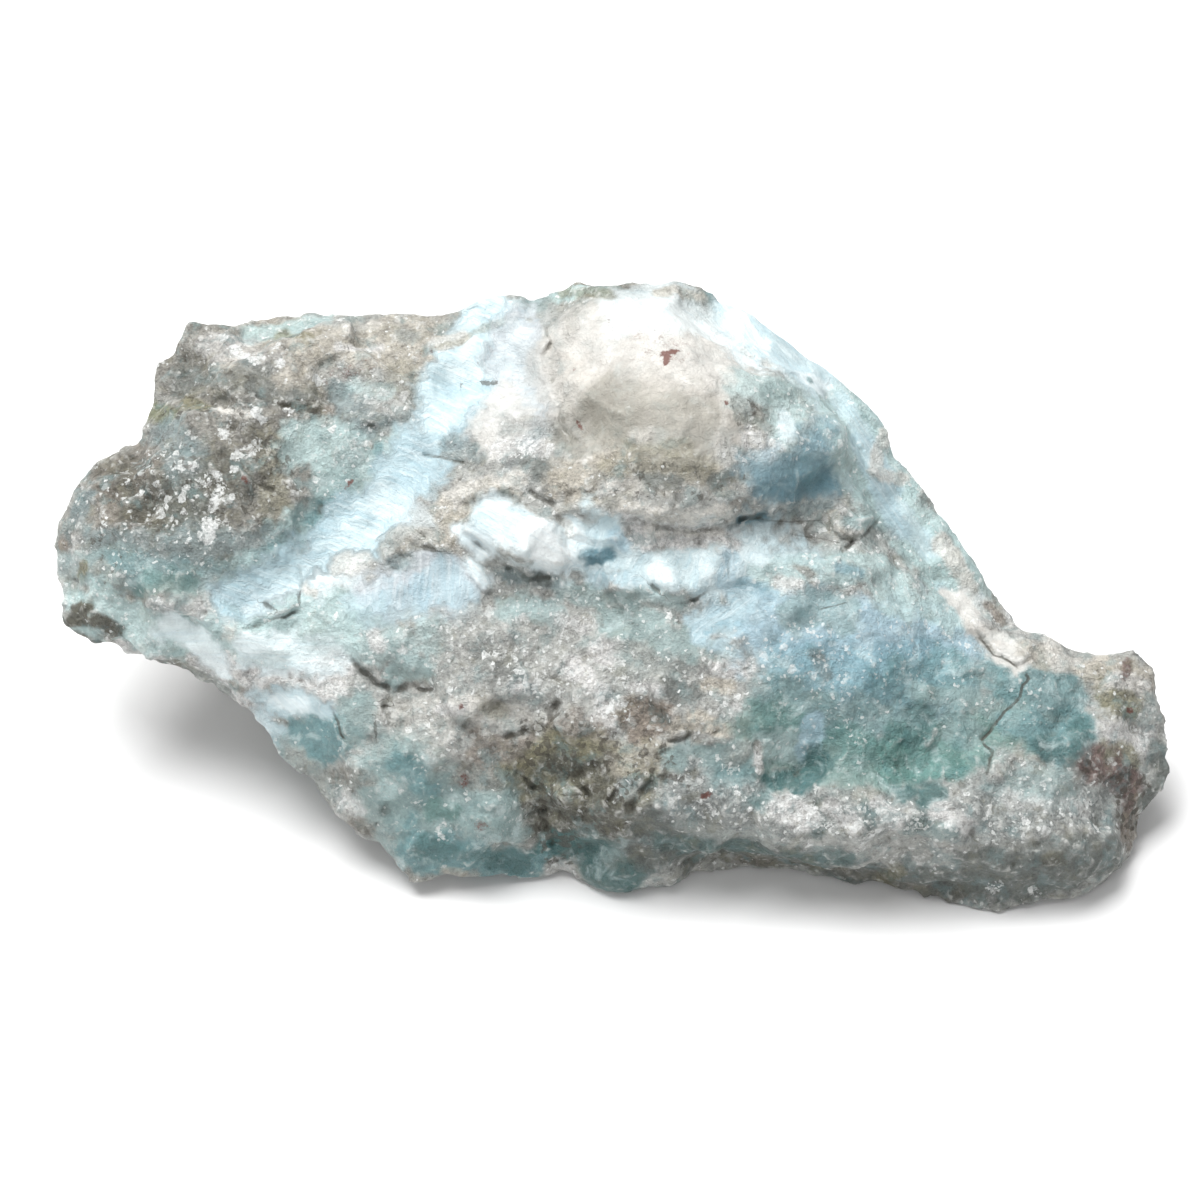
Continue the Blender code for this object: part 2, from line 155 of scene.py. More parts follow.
# Minerals: colour in sRGB 0-255, how granular, silky and glassy the surface is, and its share of white and of
# dark flecks.
MINERALS = {
    "matrix": ((166, 167, 163), 0.8, 0.0, 0.15, 0.22, 0.10),
    "ash": ((147, 152, 148), 0.7, 0.0, 0.2, 0.12, 0.08),
    "slate": ((100, 105, 101), 0.7, 0.0, 0.2, 0.06, 0.10),
    "teal slate": ((86, 107, 105), 0.8, 0.0, 0.2, 0.06, 0.10),
    "blue slate": ((120, 134, 135), 0.6, 0.0, 0.5, 0.14, 0.06),
    "host rock": ((142, 140, 133), 1.0, 0.0, 0.0, 0.14, 0.20),
    "dark host rock": ((94, 94, 84), 1.0, 0.0, 0.0, 0.08, 0.30),
    "brown rock": ((134, 125, 115), 1.0, 0.0, 0.0, 0.12, 0.25),
    "tan": ((183, 177, 165), 0.9, 0.0, 0.0, 0.15, 0.12),
    "pale tan": ((211, 208, 201), 0.7, 0.0, 0.0, 0.10, 0.05),
    "olive": ((126, 123, 97), 1.0, 0.0, 0.0, 0.08, 0.25),
    "moss": ((114, 118, 92), 1.0, 0.0, 0.0, 0.05, 0.20),
    "sea green": ((88, 130, 124), 0.1, 0.0, 0.9, 0.08, 0.02),
    "teal": ((103, 139, 142), 0.25, 0.0, 0.9, 0.11, 0.02),
    "grey teal": ((134, 156, 155), 0.4, 0.0, 0.7, 0.15, 0.04),
    "pale teal": ((168, 190, 189), 0.45, 0.1, 0.5, 0.20, 0.03),
    "deep teal": ((60, 98, 97), 0.1, 0.0, 0.9, 0.0, 0.0),
    "blue": ((116, 152, 165), 0.25, 0.1, 0.8, 0.14, 0.02),
    "pale blue": ((155, 183, 195), 0.25, 0.2, 0.6, 0.14, 0.02),
    "deep blue": ((78, 116, 128), 0.1, 0.0, 0.5, 0.02, 0.02),
    "sky": ((159, 183, 191), 0.1, 0.8, 0.2, 0.02, 0.0),
    "silk": ((182, 202, 207), 0.0, 1.0, 0.0, 0.0, 0.0),
    "silk white": ((214, 225, 227), 0.0, 0.8, 0.0, 0.0, 0.0),
    # A whiter tint for a painted highlight on a lit edge.
    "painted lit white": ((238, 243, 243), 0.1, 0.5, 0.0, 0.0, 0.0),
    "lavender": ((171, 177, 181), 0.1, 0.6, 0.2, 0.02, 0.0),
    "cream": ((188, 184, 177), 0.2, 0.0, 0.2, 0.0, 0.02),
    "pale cream": ((203, 201, 196), 0.15, 0.0, 0.2, 0.0, 0.02),
    "clear cream": ((145, 142, 132), 0.1, 0.0, 0.25, 0.0, 0.0),
    "sugar": ((208, 207, 205), 1.0, 0.0, 0.0, 0.30, 0.06),
    "grey sugar": ((146, 151, 149), 1.0, 0.0, 0.0, 0.35, 0.10),
    "plum": ((110, 91, 86), 1.0, 0.0, 0.0, 0.08, 0.30),
}

# Mineral zones, painted in this order: mineral, radius, strength, then the line that it follows.
ZONES = {
    "broad face": [
        ("matrix", 15, 1, (-42, 14), (-25, 5), (-5, 0), (15, 0), (35, -12), (50, -16)),
        ("matrix", 13, 1, (-20, -16), (0, -18), (20, -22), (42, -24)),
        ("matrix", 11, 1, (-30, 22), (-10, 20), (8, 22), (22, 15)),
    ],
    "upper left slab": [
        ("host rock", 8, 1, (-40, 26), (-36, 20), (-40, 14), (-46, 9)),
        ("host rock", 7, 1, (-34, 24), (-32, 17), (-35, 9)),
        ("tan", 2, 0.7, (-41.5, 27.4), (-37, 27.6), (-33, 27)),
        ("pale teal", 1.2, 0.8, (-35, 26.6), (-31, 27), (-27.6, 28)),
        ("sugar", 1.7, 0.45, (-39, 25.4), (-35.6, 24.9), (-32.6, 24.2), (-31, 23.2)),
        ("dark host rock", 1.2, 0.3, (-41, 23.6), (-40, 22.8)),
        ("slate", 2, 0.7, (-41, 21.2), (-38, 22), (-35.4, 21.8), (-32, 21), (-29.6, 20.6)),
        ("tan", 3.4, 0.75, (-29.6, 24.4), (-25.4, 25), (-21, 25.4), (-17.6, 25)),
        ("matrix", 1.6, 0.7, (-28, 22.4), (-24, 21.4), (-20, 21)),
        ("olive", 0.8, 0.7, (-32, 26.4), (-29.4, 26.3)), ("olive", 1, 0.8, (-41.4, 19.6), (-39.6, 19.2)),
        ("moss", 1, 0.9, (-44.6, 18.8), (-43, 18.6)), ("moss", 0.8, 0.7, (-41.2, 7)),
        ("pale tan", 0.5, 0.9, (-38.4, 19.1), (-36.4, 18.7), (-35, 18.5)),
        ("dark host rock", 0.7, 0.9, (-31.6, 19.6), (-29.4, 19.3), (-27.6, 19)),
        ("blue slate", 2.4, 0.7, (-43.4, 16.4), (-41, 13.6), (-42, 10), (-40, 8.6)),
        ("dark host rock", 4.2, 0.75, (-47, 11), (-42, 8), (-38, 11)),
        ("brown rock", 2.6, 0.5, (-45.6, 14), (-48.6, 10.4), (-46, 6.8)),
        ("dark host rock", 1.4, 0.7, (-48, 12.4), (-47, 9.4), (-44, 8)),
        ("host rock", 2.2, 0.5, (-36, 9), (-33, 8)),
        ("olive", 2, 0.4, (-33.4, 15.4), (-32.4, 12.4), (-32.6, 9.8)),
        ("blue slate", 2, 0.8, (-25.8, 19.8), (-24, 18.4), (-22.4, 17.4)),
        ("pale teal", 1, 0.5, (-24.4, 21.4), (-21.4, 21)), ("slate", 1, 1, (-25.8, 17.6)),
        ("slate", 0.7, 0.8, (-22.8, 17.7)), ("brown rock", 0.8, 0.7, (-27, 19.2)),
        ("olive", 1.7, 0.25, (-19.4, 23), (-18, 21.2), (-18.4, 20)),
        ("ash", 0.9, 0.7, (-20, 26.6), (-18.6, 26.4)), ("pale tan", 0.7, 0.8, (-25, 27.4), (-22.6, 27.6)),
        ("sugar", 0.6, 0.8, (-26, 25.2), (-22, 25.1)),
        ("pale teal", 3, 0.85, (-29.4, 16), (-26.4, 14.8), (-23, 13), (-21, 14)),
        ("grey teal", 1.6, 0.7, (-28, 11.6), (-25, 12.2)), ("teal", 0.7, 0.9, (-22.6, 13)),
        ("teal", 0.8, 0.8, (-22.2, 15.2)), ("grey teal", 2.4, 0.9, (-25, 10.2), (-28, 8.4), (-31, 6.4)),
        ("teal", 1.1, 0.9, (-26.4, 10), (-28.4, 7.6), (-27.8, 5.8)), ("slate", 0.7, 0.7, (-27.8, 8.9)),
        ("blue slate", 3, 0.7, (-50, 5), (-44, 4.6), (-38, 4.4), (-33, 4)),
        ("grey teal", 2.2, 0.6, (-53, 3.4), (-48, 3.6)),
        ("teal", 1.9, 0.5, (-48, 3), (-42, 2.4), (-37, 2.6), (-32, 4)),
        ("sea green", 1.4, 0.5, (-45, 1.8), (-41.2, 1.6)),
        ("sea green", 0.9, 0.6, (-37.4, 1.4), (-35.4, 1.8)),
        ("blue slate", 1.2, 0.8, (-52.6, 8.4), (-51.6, 10)), ("host rock", 1, 0.5, (-50, 3), (-48.6, 2.2)),
        ("brown rock", 0.7, 0.9, (-53.6, 5.4)), ("olive", 0.6, 0.9, (-54.4, 2), (-52, 2.2)),
        ("tan", 1.1, 0.5, (-54, 0.8), (-52.6, 0.6)), ("pale teal", 1.4, 0.6, (-35.6, 3.4), (-33.4, 2.2)),
    ],
    "pale strip": [
        ("pale teal", 2.6, 0.9, (-52, -0.4), (-47, -2.4), (-42, -3.6), (-37.4, -3.6)),
        ("silk white", 1.6, 0.8, (-43, -2.4), (-39.6, -4.2), (-37.8, -6.2)),
        # The dark underside along the left tip's lower outline: partly dark brown rock, partly painted shade.
        ("dark host rock", 0.8, 1, (-54.9, -0.6), (-53.6, -2.2), (-51.8, -3.7), (-49.8, -4.5)),
        ("ash", 0.8, 0.9, (-41.6, -6.6), (-38.4, -8.4), (-36.6, -10)),
        ("deep teal", 0.8, 0.8, (-37.6, -0.8), (-36.6, -1.6)),
        ("pale tan", 1.4, 0.8, (-36.6, -2.8), (-35, -3)), ("sugar", 0.9, 0.7, (-44, -0.6), (-40, -0.8)),
    ],
    "silky band": [
        ("sky", 3.4, 0.9, (-35.4, -0.2), (-31, 1.4), (-27, 4.4), (-22.6, 8.4), (-18.6, 13), (-15.4, 18)),
        ("silk", 2.6, 0.8, (-32, -0.4), (-27.6, 2.6), (-23.6, 6.6), (-20, 11)),
        ("silk white", 1.8, 0.5, (-34, -0.4), (-31.4, -0.6)),
        ("silk white", 1.8, 0.5, (-21.6, 9.2), (-18.6, 9), (-17.4, 7.6)),
        ("sky", 1.6, 0.6, (-19, 15.4), (-18.6, 13), (-19.6, 12)),
        ("silk", 3, 1, (-16.4, 19.2), (-13, 22.6), (-10.6, 27.6)),
        ("silk white", 2.6, 0.5, (-13.6, 24.6), (-11.6, 22.6), (-9.4, 25.4)),
        ("silk", 1.6, 0.8, (-17, 18.8), (-13.6, 19)),
        ("blue slate", 1.1, 0.6, (-14.6, 15.4), (-12.4, 14.4)),
        ("ash", 0.5, 0.6, (-15.6, 14.5), (-14, 14.4)), ("sky", 0.9, 0.7, (-15, 21.2), (-11.6, 21.4)),
        ("silk", 1.2, 0.8, (-15.6, 28.6), (-12.6, 29.6)),
        ("pale tan", 0.9, 0.8, (-16, 25.8), (-13.6, 26.4)),
        ("olive", 0.45, 0.4, (-17.6, 24.8), (-14, 25.8), (-11.4, 27.2), (-8.4, 28.4)),
    ],
    "below the band": [
        ("pale teal", 2.4, 0.9, (-33, -3), (-28, -1.4), (-24, 0)),
        ("silk white", 1.8, 0.8, (-27.6, 1.6), (-24.6, 2.4)),
        ("pale tan", 1.2, 0.7, (-25.6, 3.6), (-23.4, 4)),
        ("tan", 1.5, 0.6, (-20.4, 5.6), (-17, 5.6), (-15.4, 4.8)),
        ("ash", 0.8, 0.7, (-18.6, 5.2), (-15.8, 4.6)),
        ("lavender", 2.8, 1, (-21, 1.4), (-17.6, 2.2), (-14.4, 1.8)),
        ("sky", 2.2, 0.65, (-24, -0.6), (-19, -0.8), (-16.4, 1), (-14, 0.6)),
        ("pale blue", 1, 0.6, (-18.4, 1.6), (-18, -0.6)),
        ("blue slate", 1, 0.8, (-20.4, 3.7), (-19.6, 3.9)),
        ("silk white", 1.3, 0.8, (-12.6, 3.4), (-11.6, 1.8)),
        ("pale tan", 0.6, 0.8, (-29.4, 1), (-28.6, 0.6)),
    ],
    "shoulder": [
        ("lavender", 3.6, 0.9, (-7.6, 26), (-7.4, 21.6), (-8, 18)),
        ("silk white", 2.6, 0.35, (-7.6, 26), (-7.6, 20)),
        ("pale cream", 2.4, 0.8, (-9.6, 19.6), (-8.6, 17.4), (-11, 16.4)),
        ("cream", 2, 0.5, (-6, 24), (-5.6, 21)), ("matrix", 1.2, 0.6, (-8.8, 17.4), (-5.6, 17.8)),
        ("slate", 1.3, 0.7, (-8.8, 14.4), (-6, 13.8)),
        ("sugar", 1, 0.6, (-10.6, 15), (-8, 15.6), (-5.4, 15.4)),
        ("slate", 1, 0.9, (-3.9, 17.8), (-2.9, 16.2), (-1.9, 15)),
        ("pale tan", 1.2, 0.9, (-15, 10.4), (-12, 11.6), (-8.4, 12)),
        ("tan", 1.2, 0.9, (-13.6, 8.6), (-11.4, 10), (-9, 10.2)),
        ("slate", 0.7, 0.8, (-10.6, 10.5), (-8.6, 10)), ("tan", 1.3, 0.7, (-16, 9), (-15, 7), (-15.6, 5.6)),
        ("slate", 1.2, 0.8, (-6, 12.6), (-3, 12)), ("ash", 1, 0.7, (-5.4, 29), (-4.8, 26.8)),
    ],
    "boss": [
        ("cream", 8.5, 1, (2, 24), (8, 23), (5, 18)), ("cream", 4, 1, (12, 24), (13.6, 19)),
        ("pale cream", 4.4, 0.8, (1, 27), (7, 26.8), (12, 24.4)),
        ("silk white", 3.6, 0.6, (3, 29.4), (8, 29.4), (13, 26.6)),
        ("clear cream", 5, 0.7, (1, 18.6), (4, 17), (8, 17)),
        ("clear cream", 3.2, 0.65, (0.6, 18), (3, 16.6)), ("olive", 1.2, 0.35, (3.4, 15.6), (8, 15.4)),
        ("pale tan", 1, 0.6, (3.6, 16.4), (5, 16.8)),
        ("tan", 2.4, 0.9, (-3, 11.6), (2, 12.2), (7, 12), (11, 11.4)),
        ("host rock", 1.8, 0.7, (0, 11.6), (5, 12.6), (10, 12)),
        ("olive", 1.2, 0.3, (1, 13.4), (6, 13.6), (11, 13.2)), ("slate", 0.9, 0.7, (4, 12), (8, 11.8)),
        ("slate", 0.8, 0.8, (11.4, 12), (12.6, 12.2)),
        ("matrix", 1.6, 0.9, (0.4, 10.4), (4, 9.6), (12, 9.4), (15, 9)),
        ("pale tan", 1.4, 0.9, (3, 8.6), (8, 8.4), (12, 8.6)),
        ("pale tan", 0.8, 0.7, (1.4, 11.4), (3.2, 11.6)),
        ("brown rock", 0.8, 0.5, (13.6, 9.6), (15.4, 9.6)), ("pale teal", 1.2, 0.9, (-4.4, 30.4), (0, 31)),
        ("olive", 0.9, 0.6, (-3.4, 30.6), (0.6, 30.6)), ("tan", 0.7, 0.7, (6, 30.8), (10, 30.6)),
    ],
    "blue flank": [
        ("pale teal", 4.6, 0.8, (17, 20), (21, 15), (24, 19)),
        ("silk white", 2, 0.8, (15, 24.4), (20, 22.6)), ("ash", 1.6, 0.8, (15, 19), (16.4, 17.4)),
        ("brown rock", 0.9, 0.5, (15.6, 19), (16.6, 18.6)),
        ("grey teal", 1.5, 0.6, (17.4, 21), (19.6, 21.4)), ("pale tan", 0.8, 0.7, (15, 24.8), (17, 23.6)),
        ("sugar", 1.5, 0.8, (15, 16.4), (17.4, 14.6)), ("silk white", 0.9, 0.7, (18.6, 18.4), (19, 16.6)),
        ("blue", 1.3, 0.5, (20.6, 16.6), (22.4, 17.2), (23.6, 15.4)),
        ("lavender", 1.3, 0.7, (24.4, 13.8), (24.8, 12.6)),
        ("brown rock", 0.9, 0.4, (18.8, 14.2), (21.6, 19)), ("blue", 3.4, 0.6, (17.4, 12), (22.4, 13.6)),
        ("deep blue", 2.4, 0.6, (17, 11.4), (19, 12), (22.4, 12.4)),
        ("deep blue", 1.5, 0.6, (17.4, 11), (20.6, 11), (22.4, 11.8)),
        ("blue slate", 1, 0.8, (19.6, 9.2), (22.4, 9.4)), ("deep blue", 0.7, 0.9, (14, 8.2), (16.4, 8.3)),
        ("tan", 0.8, 0.9, (23.2, 8.4), (24.2, 6.4), (26.4, 6.2), (27.8, 8.4)),
        ("pale teal", 1, 0.9, (24.8, 7.9), (26.4, 8)),
    ],
    "right back slope": [
        ("silk", 3.6, 0.9, (14, 28), (20, 23.6), (25, 19), (28, 12)),
        ("silk white", 1.6, 0.7, (13, 27.6), (16, 25.6)), ("silk white", 1.2, 1, (20.4, 22.4), (24, 19.4)),
        ("silk white", 1.6, 0.5, (26, 17), (28.4, 12.6)),
        ("pale teal", 4.2, 1, (25, 18), (28, 12), (32, 7), (36, 2)),
        ("silk", 1.2, 0.7, (24.6, 19.4), (27, 15), (29, 10), (33, 5)),
        ("sky", 1, 0.7, (25.8, 15.6), (28, 10.6), (30, 7)), ("sky", 1, 0.7, (27.4, 15.4), (29.4, 11)),
        ("teal", 0.5, 0.8, (21, 22)), ("pale tan", 0.7, 0.7, (28.6, 16.4), (29.4, 14.6), (30.4, 12)),
        ("pale tan", 0.9, 0.8, (34.4, 5.6), (37.6, 0.6), (38.6, -0.6)),
    ],
    "ledge": [
        ("silk", 3.2, 0.8, (-2, 6), (3, 3.4), (8, 3.8), (14, 4.4), (20, 4)),
        ("pale teal", 2.6, 0.8, (18, 3), (24, 3.4), (27, 4.6)),
        ("sugar", 1.6, 1, (3.6, 6.8), (8, 6.2), (12, 6.2)),
        ("pale tan", 0.6, 0.6, (5, 7), (9, 6.6), (12, 6.8)),
        ("silk white", 1.4, 0.6, (5.4, 3.4), (6.8, 2.2)), ("silk white", 1, 0.4, (10, 4.4), (10.8, 2.6)),
        ("silk white", 1, 0.45, (14.6, 4.8), (16.4, 4)), ("pale blue", 1, 0.6, (12.8, 4.4), (12.8, 2)),
        ("silk", 1.6, 0.8, (-2, 5.2), (0, 6.6)), ("deep blue", 0.9, 0.95, (-2, 4.2), (0.8, 4.5)),
        ("pale blue", 0.8, 0.8, (1.4, 6.4), (2.4, 5.4)), ("sky", 1.2, 0.8, (0, 2), (3, 1.8)),
        ("blue", 1, 0.8, (14.4, 1.3), (17.4, 0.8)), ("deep blue", 0.5, 0.6, (15, 0.8), (16.6, 0.5)),
        ("grey teal", 1, 0.7, (-4, 1), (0, 0.2), (4, 0.4), (8, 0)),
        ("brown rock", 0.7, 0.7, (19.4, 3.4), (21.2, 2.4)), ("sugar", 0.8, 0.7, (18, 2), (20, 1)),
        ("blue", 0.9, 0.7, (24, 3.4), (26, 3)), ("matrix", 1.6, 0.7, (24, 6.4), (28, 5.4)),
    ],
    "flake": [
        ("silk white", 3, 1, (-11, 7), (-7.6, 6.6), (-4.4, 5.2)),
        ("silk", 1.8, 0.7, (-11.8, 8.4), (-9.6, 8), (-7.6, 7.6)),
        # Painted highlight: the flake's lit right part is painted whiter.
        ("painted lit white", 1.6, 0.9, (-6.8, 6.6), (-5.4, 5.4), (-4.6, 4)),
        ("pale tan", 0.5, 0.5, (-3.6, 7.8), (-3, 6.6)),
        ("silk white", 1.2, 0.9, (-14, 7), (-13.4, 6.2), (-11.6, 5.4)),
        # Painted shadow under the flake's lower edge.
        ("blue slate", 1, 0.9, (-9.2, 2.6), (-6.6, 1.9), (-4.8, 2)),
        ("slate", 0.6, 0.8, (-7.4, 2.2), (-5.4, 2)),
    ],
    "cheek": [
        ("sugar", 2.2, 0.8, (-35.4, -6.6), (-31, -7.4), (-27.4, -8.6)),
        ("silk", 2.2, 0.95, (-34, -9.4), (-30.8, -10.6), (-28, -11.4)),
        ("silk white", 1, 0.8, (-32.6, -9.8), (-30, -10.8)), ("silk", 1.2, 0.8, (-34, -12), (-31.6, -14)),
        ("teal", 2.2, 0.95, (-29.6, -13.4), (-28, -15.4), (-26.6, -14)),
        ("grey teal", 1.8, 0.8, (-24.6, -11), (-24.6, -13)),
        ("ash", 1.4, 0.8, (-32, -15.6), (-28, -18.4), (-25.6, -19)),
        ("silk white", 1.4, 0.9, (-35.4, -5.8), (-32, -6.4), (-28.6, -6.6)),
    ],
    "middle": [
        ("pale teal", 2.8, 0.9, (-26, -4.6), (-30, -3.8), (-35, -3.6)),
        ("silk white", 1.2, 0.7, (-35.4, -4.6), (-32, -4.2), (-29, -6.2)),
        ("sugar", 1.6, 0.8, (-26, -6.4), (-29, -7.4)), ("pale teal", 1.3, 0.7, (-31.6, -5.6), (-29, -5)),
        ("silk white", 2.2, 0.6, (-35, -5.4), (-30.6, -5), (-27, -5.6)),
        ("pale teal", 2, 0.7, (-26, -3), (-22, -5), (-17, -4)),
        ("sugar", 0.8, 0.8, (-22.4, -3.6), (-22, -4.6)),
        ("matrix", 2.4, 0.7, (-15, -3), (-8, -4), (-4, -6)), ("slate", 1.6, 0.45, (-12, -5), (-9, -6.6)),
        ("pale teal", 1.6, 0.8, (-9, -0.6), (-5, -1.4)), ("sugar", 1.4, 0.7, (-4, -1.6), (-1, -2.4)),
        ("grey teal", 2.4, 0.8, (2, -2.4), (6, -3.6), (9, -4.6)),
        ("grey teal", 1.2, 0.6, (11.6, -5), (13, -5.2)), ("sugar", 1.2, 0.9, (-0.4, -4.8), (1, -5.6)),
        ("sugar", 1.5, 0.9, (-2, -7), (0, -9), (0.6, -11.6)), ("ash", 2.2, 0.8, (3.4, -6.4), (7, -7.4)),
        ("sugar", 0.8, 0.8, (3.4, -8.6), (6, -9)), ("slate", 1.4, 0.7, (7.4, -9.2), (9.6, -9.2)),
        ("brown rock", 1.6, 1, (3, -11.6), (6, -11.4), (4, -13.4)),
        ("sugar", 1.5, 1, (11.6, -6.8), (13.6, -6.6)), ("tan", 0.9, 0.9, (10.8, -8.6), (12.6, -8.8)),
        ("sugar", 0.8, 0.8, (13.6, -11), (15.4, -11.2)),
        ("tan", 1.2, 0.9, (7, -12.6), (10, -12), (12, -13)),
        ("pale teal", 1.4, 0.9, (-20.4, -7.4), (-18, -7)),
        ("pale tan", 2.4, 0.45, (-20, -11), (-14, -11.6)), ("sugar", 0.9, 0.8, (-16, -10.8), (-14, -11)),
        ("matrix", 2, 0.6, (-21, -13), (-16, -14)), ("pale tan", 1.6, 0.6, (-12, -11), (-8.6, -12)),
        ("olive", 0.9, 0.4, (-11.4, -10.8), (-10, -11)), ("sugar", 1, 1, (-8.2, -8.8), (-7, -9)),
        ("brown rock", 2.2, 0.8, (-12, -15), (-8, -14.6)),
    ],
    "vug": [
        ("brown rock", 2.6, 0.7, (-4, -13.6), (0, -14.6)),
        ("olive", 3.8, 0.85, (-6, -17), (-1, -17.6), (3, -17.6)),
        ("dark host rock", 2, 0.9, (-3.4, -16.6), (-0.4, -16.8)),
        ("dark host rock", 2.8, 0.9, (-6, -20.4), (-5, -23), (-1, -20.6)),
        ("tan", 1.6, 0.5, (2, -16.4), (6, -15.4)), ("grey sugar", 1, 0.8, (2.4, -19), (4, -18.2)),
        ("dark host rock", 0.9, 0.9, (6, -18), (4.4, -19.2), (3, -20.6)),
        ("grey sugar", 2, 0.7, (8, -17.4), (10.4, -19.4)), ("deep teal", 1.4, 1, (-6.6, -26), (-4.6, -24)),
        ("dark host rock", 2.2, 0.8, (-1, -22.6), (4, -22)),
    ],
    "lower left lobe": [
        ("grey teal", 4.4, 0.9, (-20, -18), (-16, -21), (-11, -22)),
        ("grey teal", 2.4, 0.7, (-22.6, -21), (-20, -24)),
        ("teal", 1.6, 0.9, (-19.6, -16.6), (-18.4, -18.4)), ("pale teal", 1, 0.9, (-21.4, -19)),
        ("grey teal", 1.8, 0.5, (-18.6, -21), (-16.6, -22.6)),
        ("sea green", 1, 0.7, (-16.8, -20.8), (-15, -21)),
        ("teal", 2.4, 0.95, (-19, -25), (-14, -26), (-8, -26.6)),
        ("deep teal", 1.4, 0.6, (-17.6, -24.6), (-12, -25.6), (-8, -26)),
        ("host rock", 1.2, 0.7, (-26, -18), (-23.6, -17.8)),
        ("sugar", 1.1, 0.6, (-25.6, -20.2), (-24, -21)),
        ("brown rock", 0.8, 0.6, (-24.6, -22.4), (-23, -23)),
        ("grey teal", 1.5, 0.8, (-12, -22.2), (-9.2, -22.8)),
        ("tan", 0.7, 0.6, (-15.4, -27), (-13.6, -27.4)), ("host rock", 1.6, 0.7, (-14, -17.4), (-11, -18)),
    ],
    "knob": [
        ("deep teal", 2.8, 0.7, (-1, -25.6), (3, -26), (2, -28)),
        ("deep teal", 1.8, 0.9, (-3.6, -25), (-1, -24.4)), ("deep teal", 1.6, 0.7, (-0.6, -27.6), (3, -28)),
        ("grey teal", 0.8, 0.6, (1, -25.4), (3, -25.2)), ("slate", 2.4, 1, (4, -22.6), (10, -23)),
    ],
    "teal face": [
        ("pale blue", 4.6, 0.95, (17, -3), (24, -3.6), (30, -3), (35, -3.6)),
        ("teal", 5.5, 0.8, (20, -10), (27, -11), (34, -9)),
        ("blue", 3.4, 0.7, (20, -6), (27, -7), (34, -6.6)), ("grey teal", 2, 0.7, (20, -1), (24, -0.8)),
        ("slate", 0.8, 0.5, (21.4, -5.6), (22.6, -7.6)),
        ("pale teal", 2.4, 0.8, (29, 1), (33, -0.6), (35.4, -2)),
        ("teal", 2.6, 0.6, (30, -8), (35, -7.6), (40, -7)),
        ("sea green", 3.4, 0.7, (16, -13), (19, -15), (28, -16)),
        ("pale teal", 1.8, 0.8, (16.6, -15), (18.6, -14.4)),
        ("pale blue", 1.2, 0.8, (20.4, -14.6), (21.4, -12)),
        ("sea green", 3.6, 0.8, (30, -15), (37, -14.6), (41, -13)),
        ("sea green", 1.6, 0.9, (31.4, -16.8), (35, -16.4)),
        ("deep teal", 1.3, 0.6, (31.4, -10.4), (33, -12.4), (30, -13.8)),
        ("grey teal", 1.6, 0.8, (35.4, -12.6), (37.4, -13.4)),
        ("grey teal", 0.9, 0.7, (31.6, -9.2), (36, -9.6), (40, -11.4)),
        ("teal", 3.6, 0.85, (42, -8), (46, -9.6), (46, -12)),
        ("teal", 2.4, 0.9, (42, -12.6), (47, -14.4), (47, -12.4)),
        ("deep teal", 1.6, 0.7, (44.6, -14.6), (47.4, -15.4), (48, -13)),
        ("grey teal", 1, 0.5, (42, -10.6), (41, -12.2)), ("grey teal", 1.9, 0.9, (8.4, -15.6), (13, -16)),
        ("teal", 2.2, 0.6, (13, -18), (17, -19.6)), ("sugar", 0.5, 0.9, (15.8, -14.4), (15.9, -17.6)),
        ("ash", 1, 0.7, (13, -15.6), (14.6, -14.8)),
    ],
    "fibrous patch": [
        ("sky", 2, 0.9, (11, -1.6), (13.6, -1.8), (14.2, -0.4)), ("blue", 0.9, 0.5, (11, -3), (14, -2.4)),
    ],
    "white vein": [
        ("pale cream", 1.6, 0.95, (35.8, -0.4), (38.4, -3), (41.6, -5.6)),
        ("cream", 0.8, 0.6, (37, -2.6), (39.4, -4.4)), ("brown rock", 0.5, 0.8, (38.6, -0.5), (40.2, -2.1)),
        ("tan", 1.3, 0.7, (43, -5), (44.6, -5.6)),
        ("pale tan", 1.1, 0.8, (45, -4.6), (48, -5.2), (50, -6.2)),
    ],
    "right end": [
        ("tan", 2.2, 0.8, (50, -7.4), (54, -8)), ("olive", 2, 0.8, (51, -9.8), (52.6, -11)),
        ("sugar", 0.9, 0.6, (51, -7.8), (54, -8.4)), ("plum", 0.5, 0.9, (52.8, -6.1), (54.6, -6.2)),
        ("sugar", 1.7, 0.75, (51.2, -12.8), (54.6, -14.2)), ("olive", 1.2, 0.7, (50.6, -15), (53, -15.4)),
        ("plum", 2, 0.95, (50, -16.4), (53, -18.4), (52.6, -21.4)),
        ("slate", 1.3, 0.9, (56, -15), (56.4, -17), (54.6, -20)),
        ("brown rock", 1.4, 0.8, (53.4, -22), (52.8, -24)),
    ],
    "white crest": [
        ("grey sugar", 3, 0.9, (9, -20), (14, -21)),
        ("grey sugar", 2.3, 0.8, (19, -22), (24, -21.2), (28, -21.6)),
        ("grey sugar", 2.1, 0.8, (31, -21.2), (36, -21.6), (37.6, -22.8)),
        ("sugar", 0.9, 0.35, (29.6, -21.2), (33, -21), (37, -22)),
        ("grey teal", 1.2, 0.6, (32.4, -23), (35, -23)),
        ("grey sugar", 3, 0.9, (40, -19.4), (44, -20), (49, -21)),
        ("grey teal", 2, 0.6, (41, -18.6), (46, -19)), ("tan", 0.8, 0.4, (26.2, -19.6), (27, -20)),
        ("teal slate", 1, 0.7, (21.6, -23.4), (22.4, -20.6)),
        ("teal slate", 1, 0.7, (30.8, -23), (32, -20.8)),
        ("teal slate", 0.8, 0.6, (26.6, -22.4), (27, -20.8)),
        ("deep teal", 2, 0.95, (17.4, -19), (20.4, -18), (22, -17)),
        ("deep teal", 1.6, 0.9, (30.6, -19), (33.2, -19.4)),
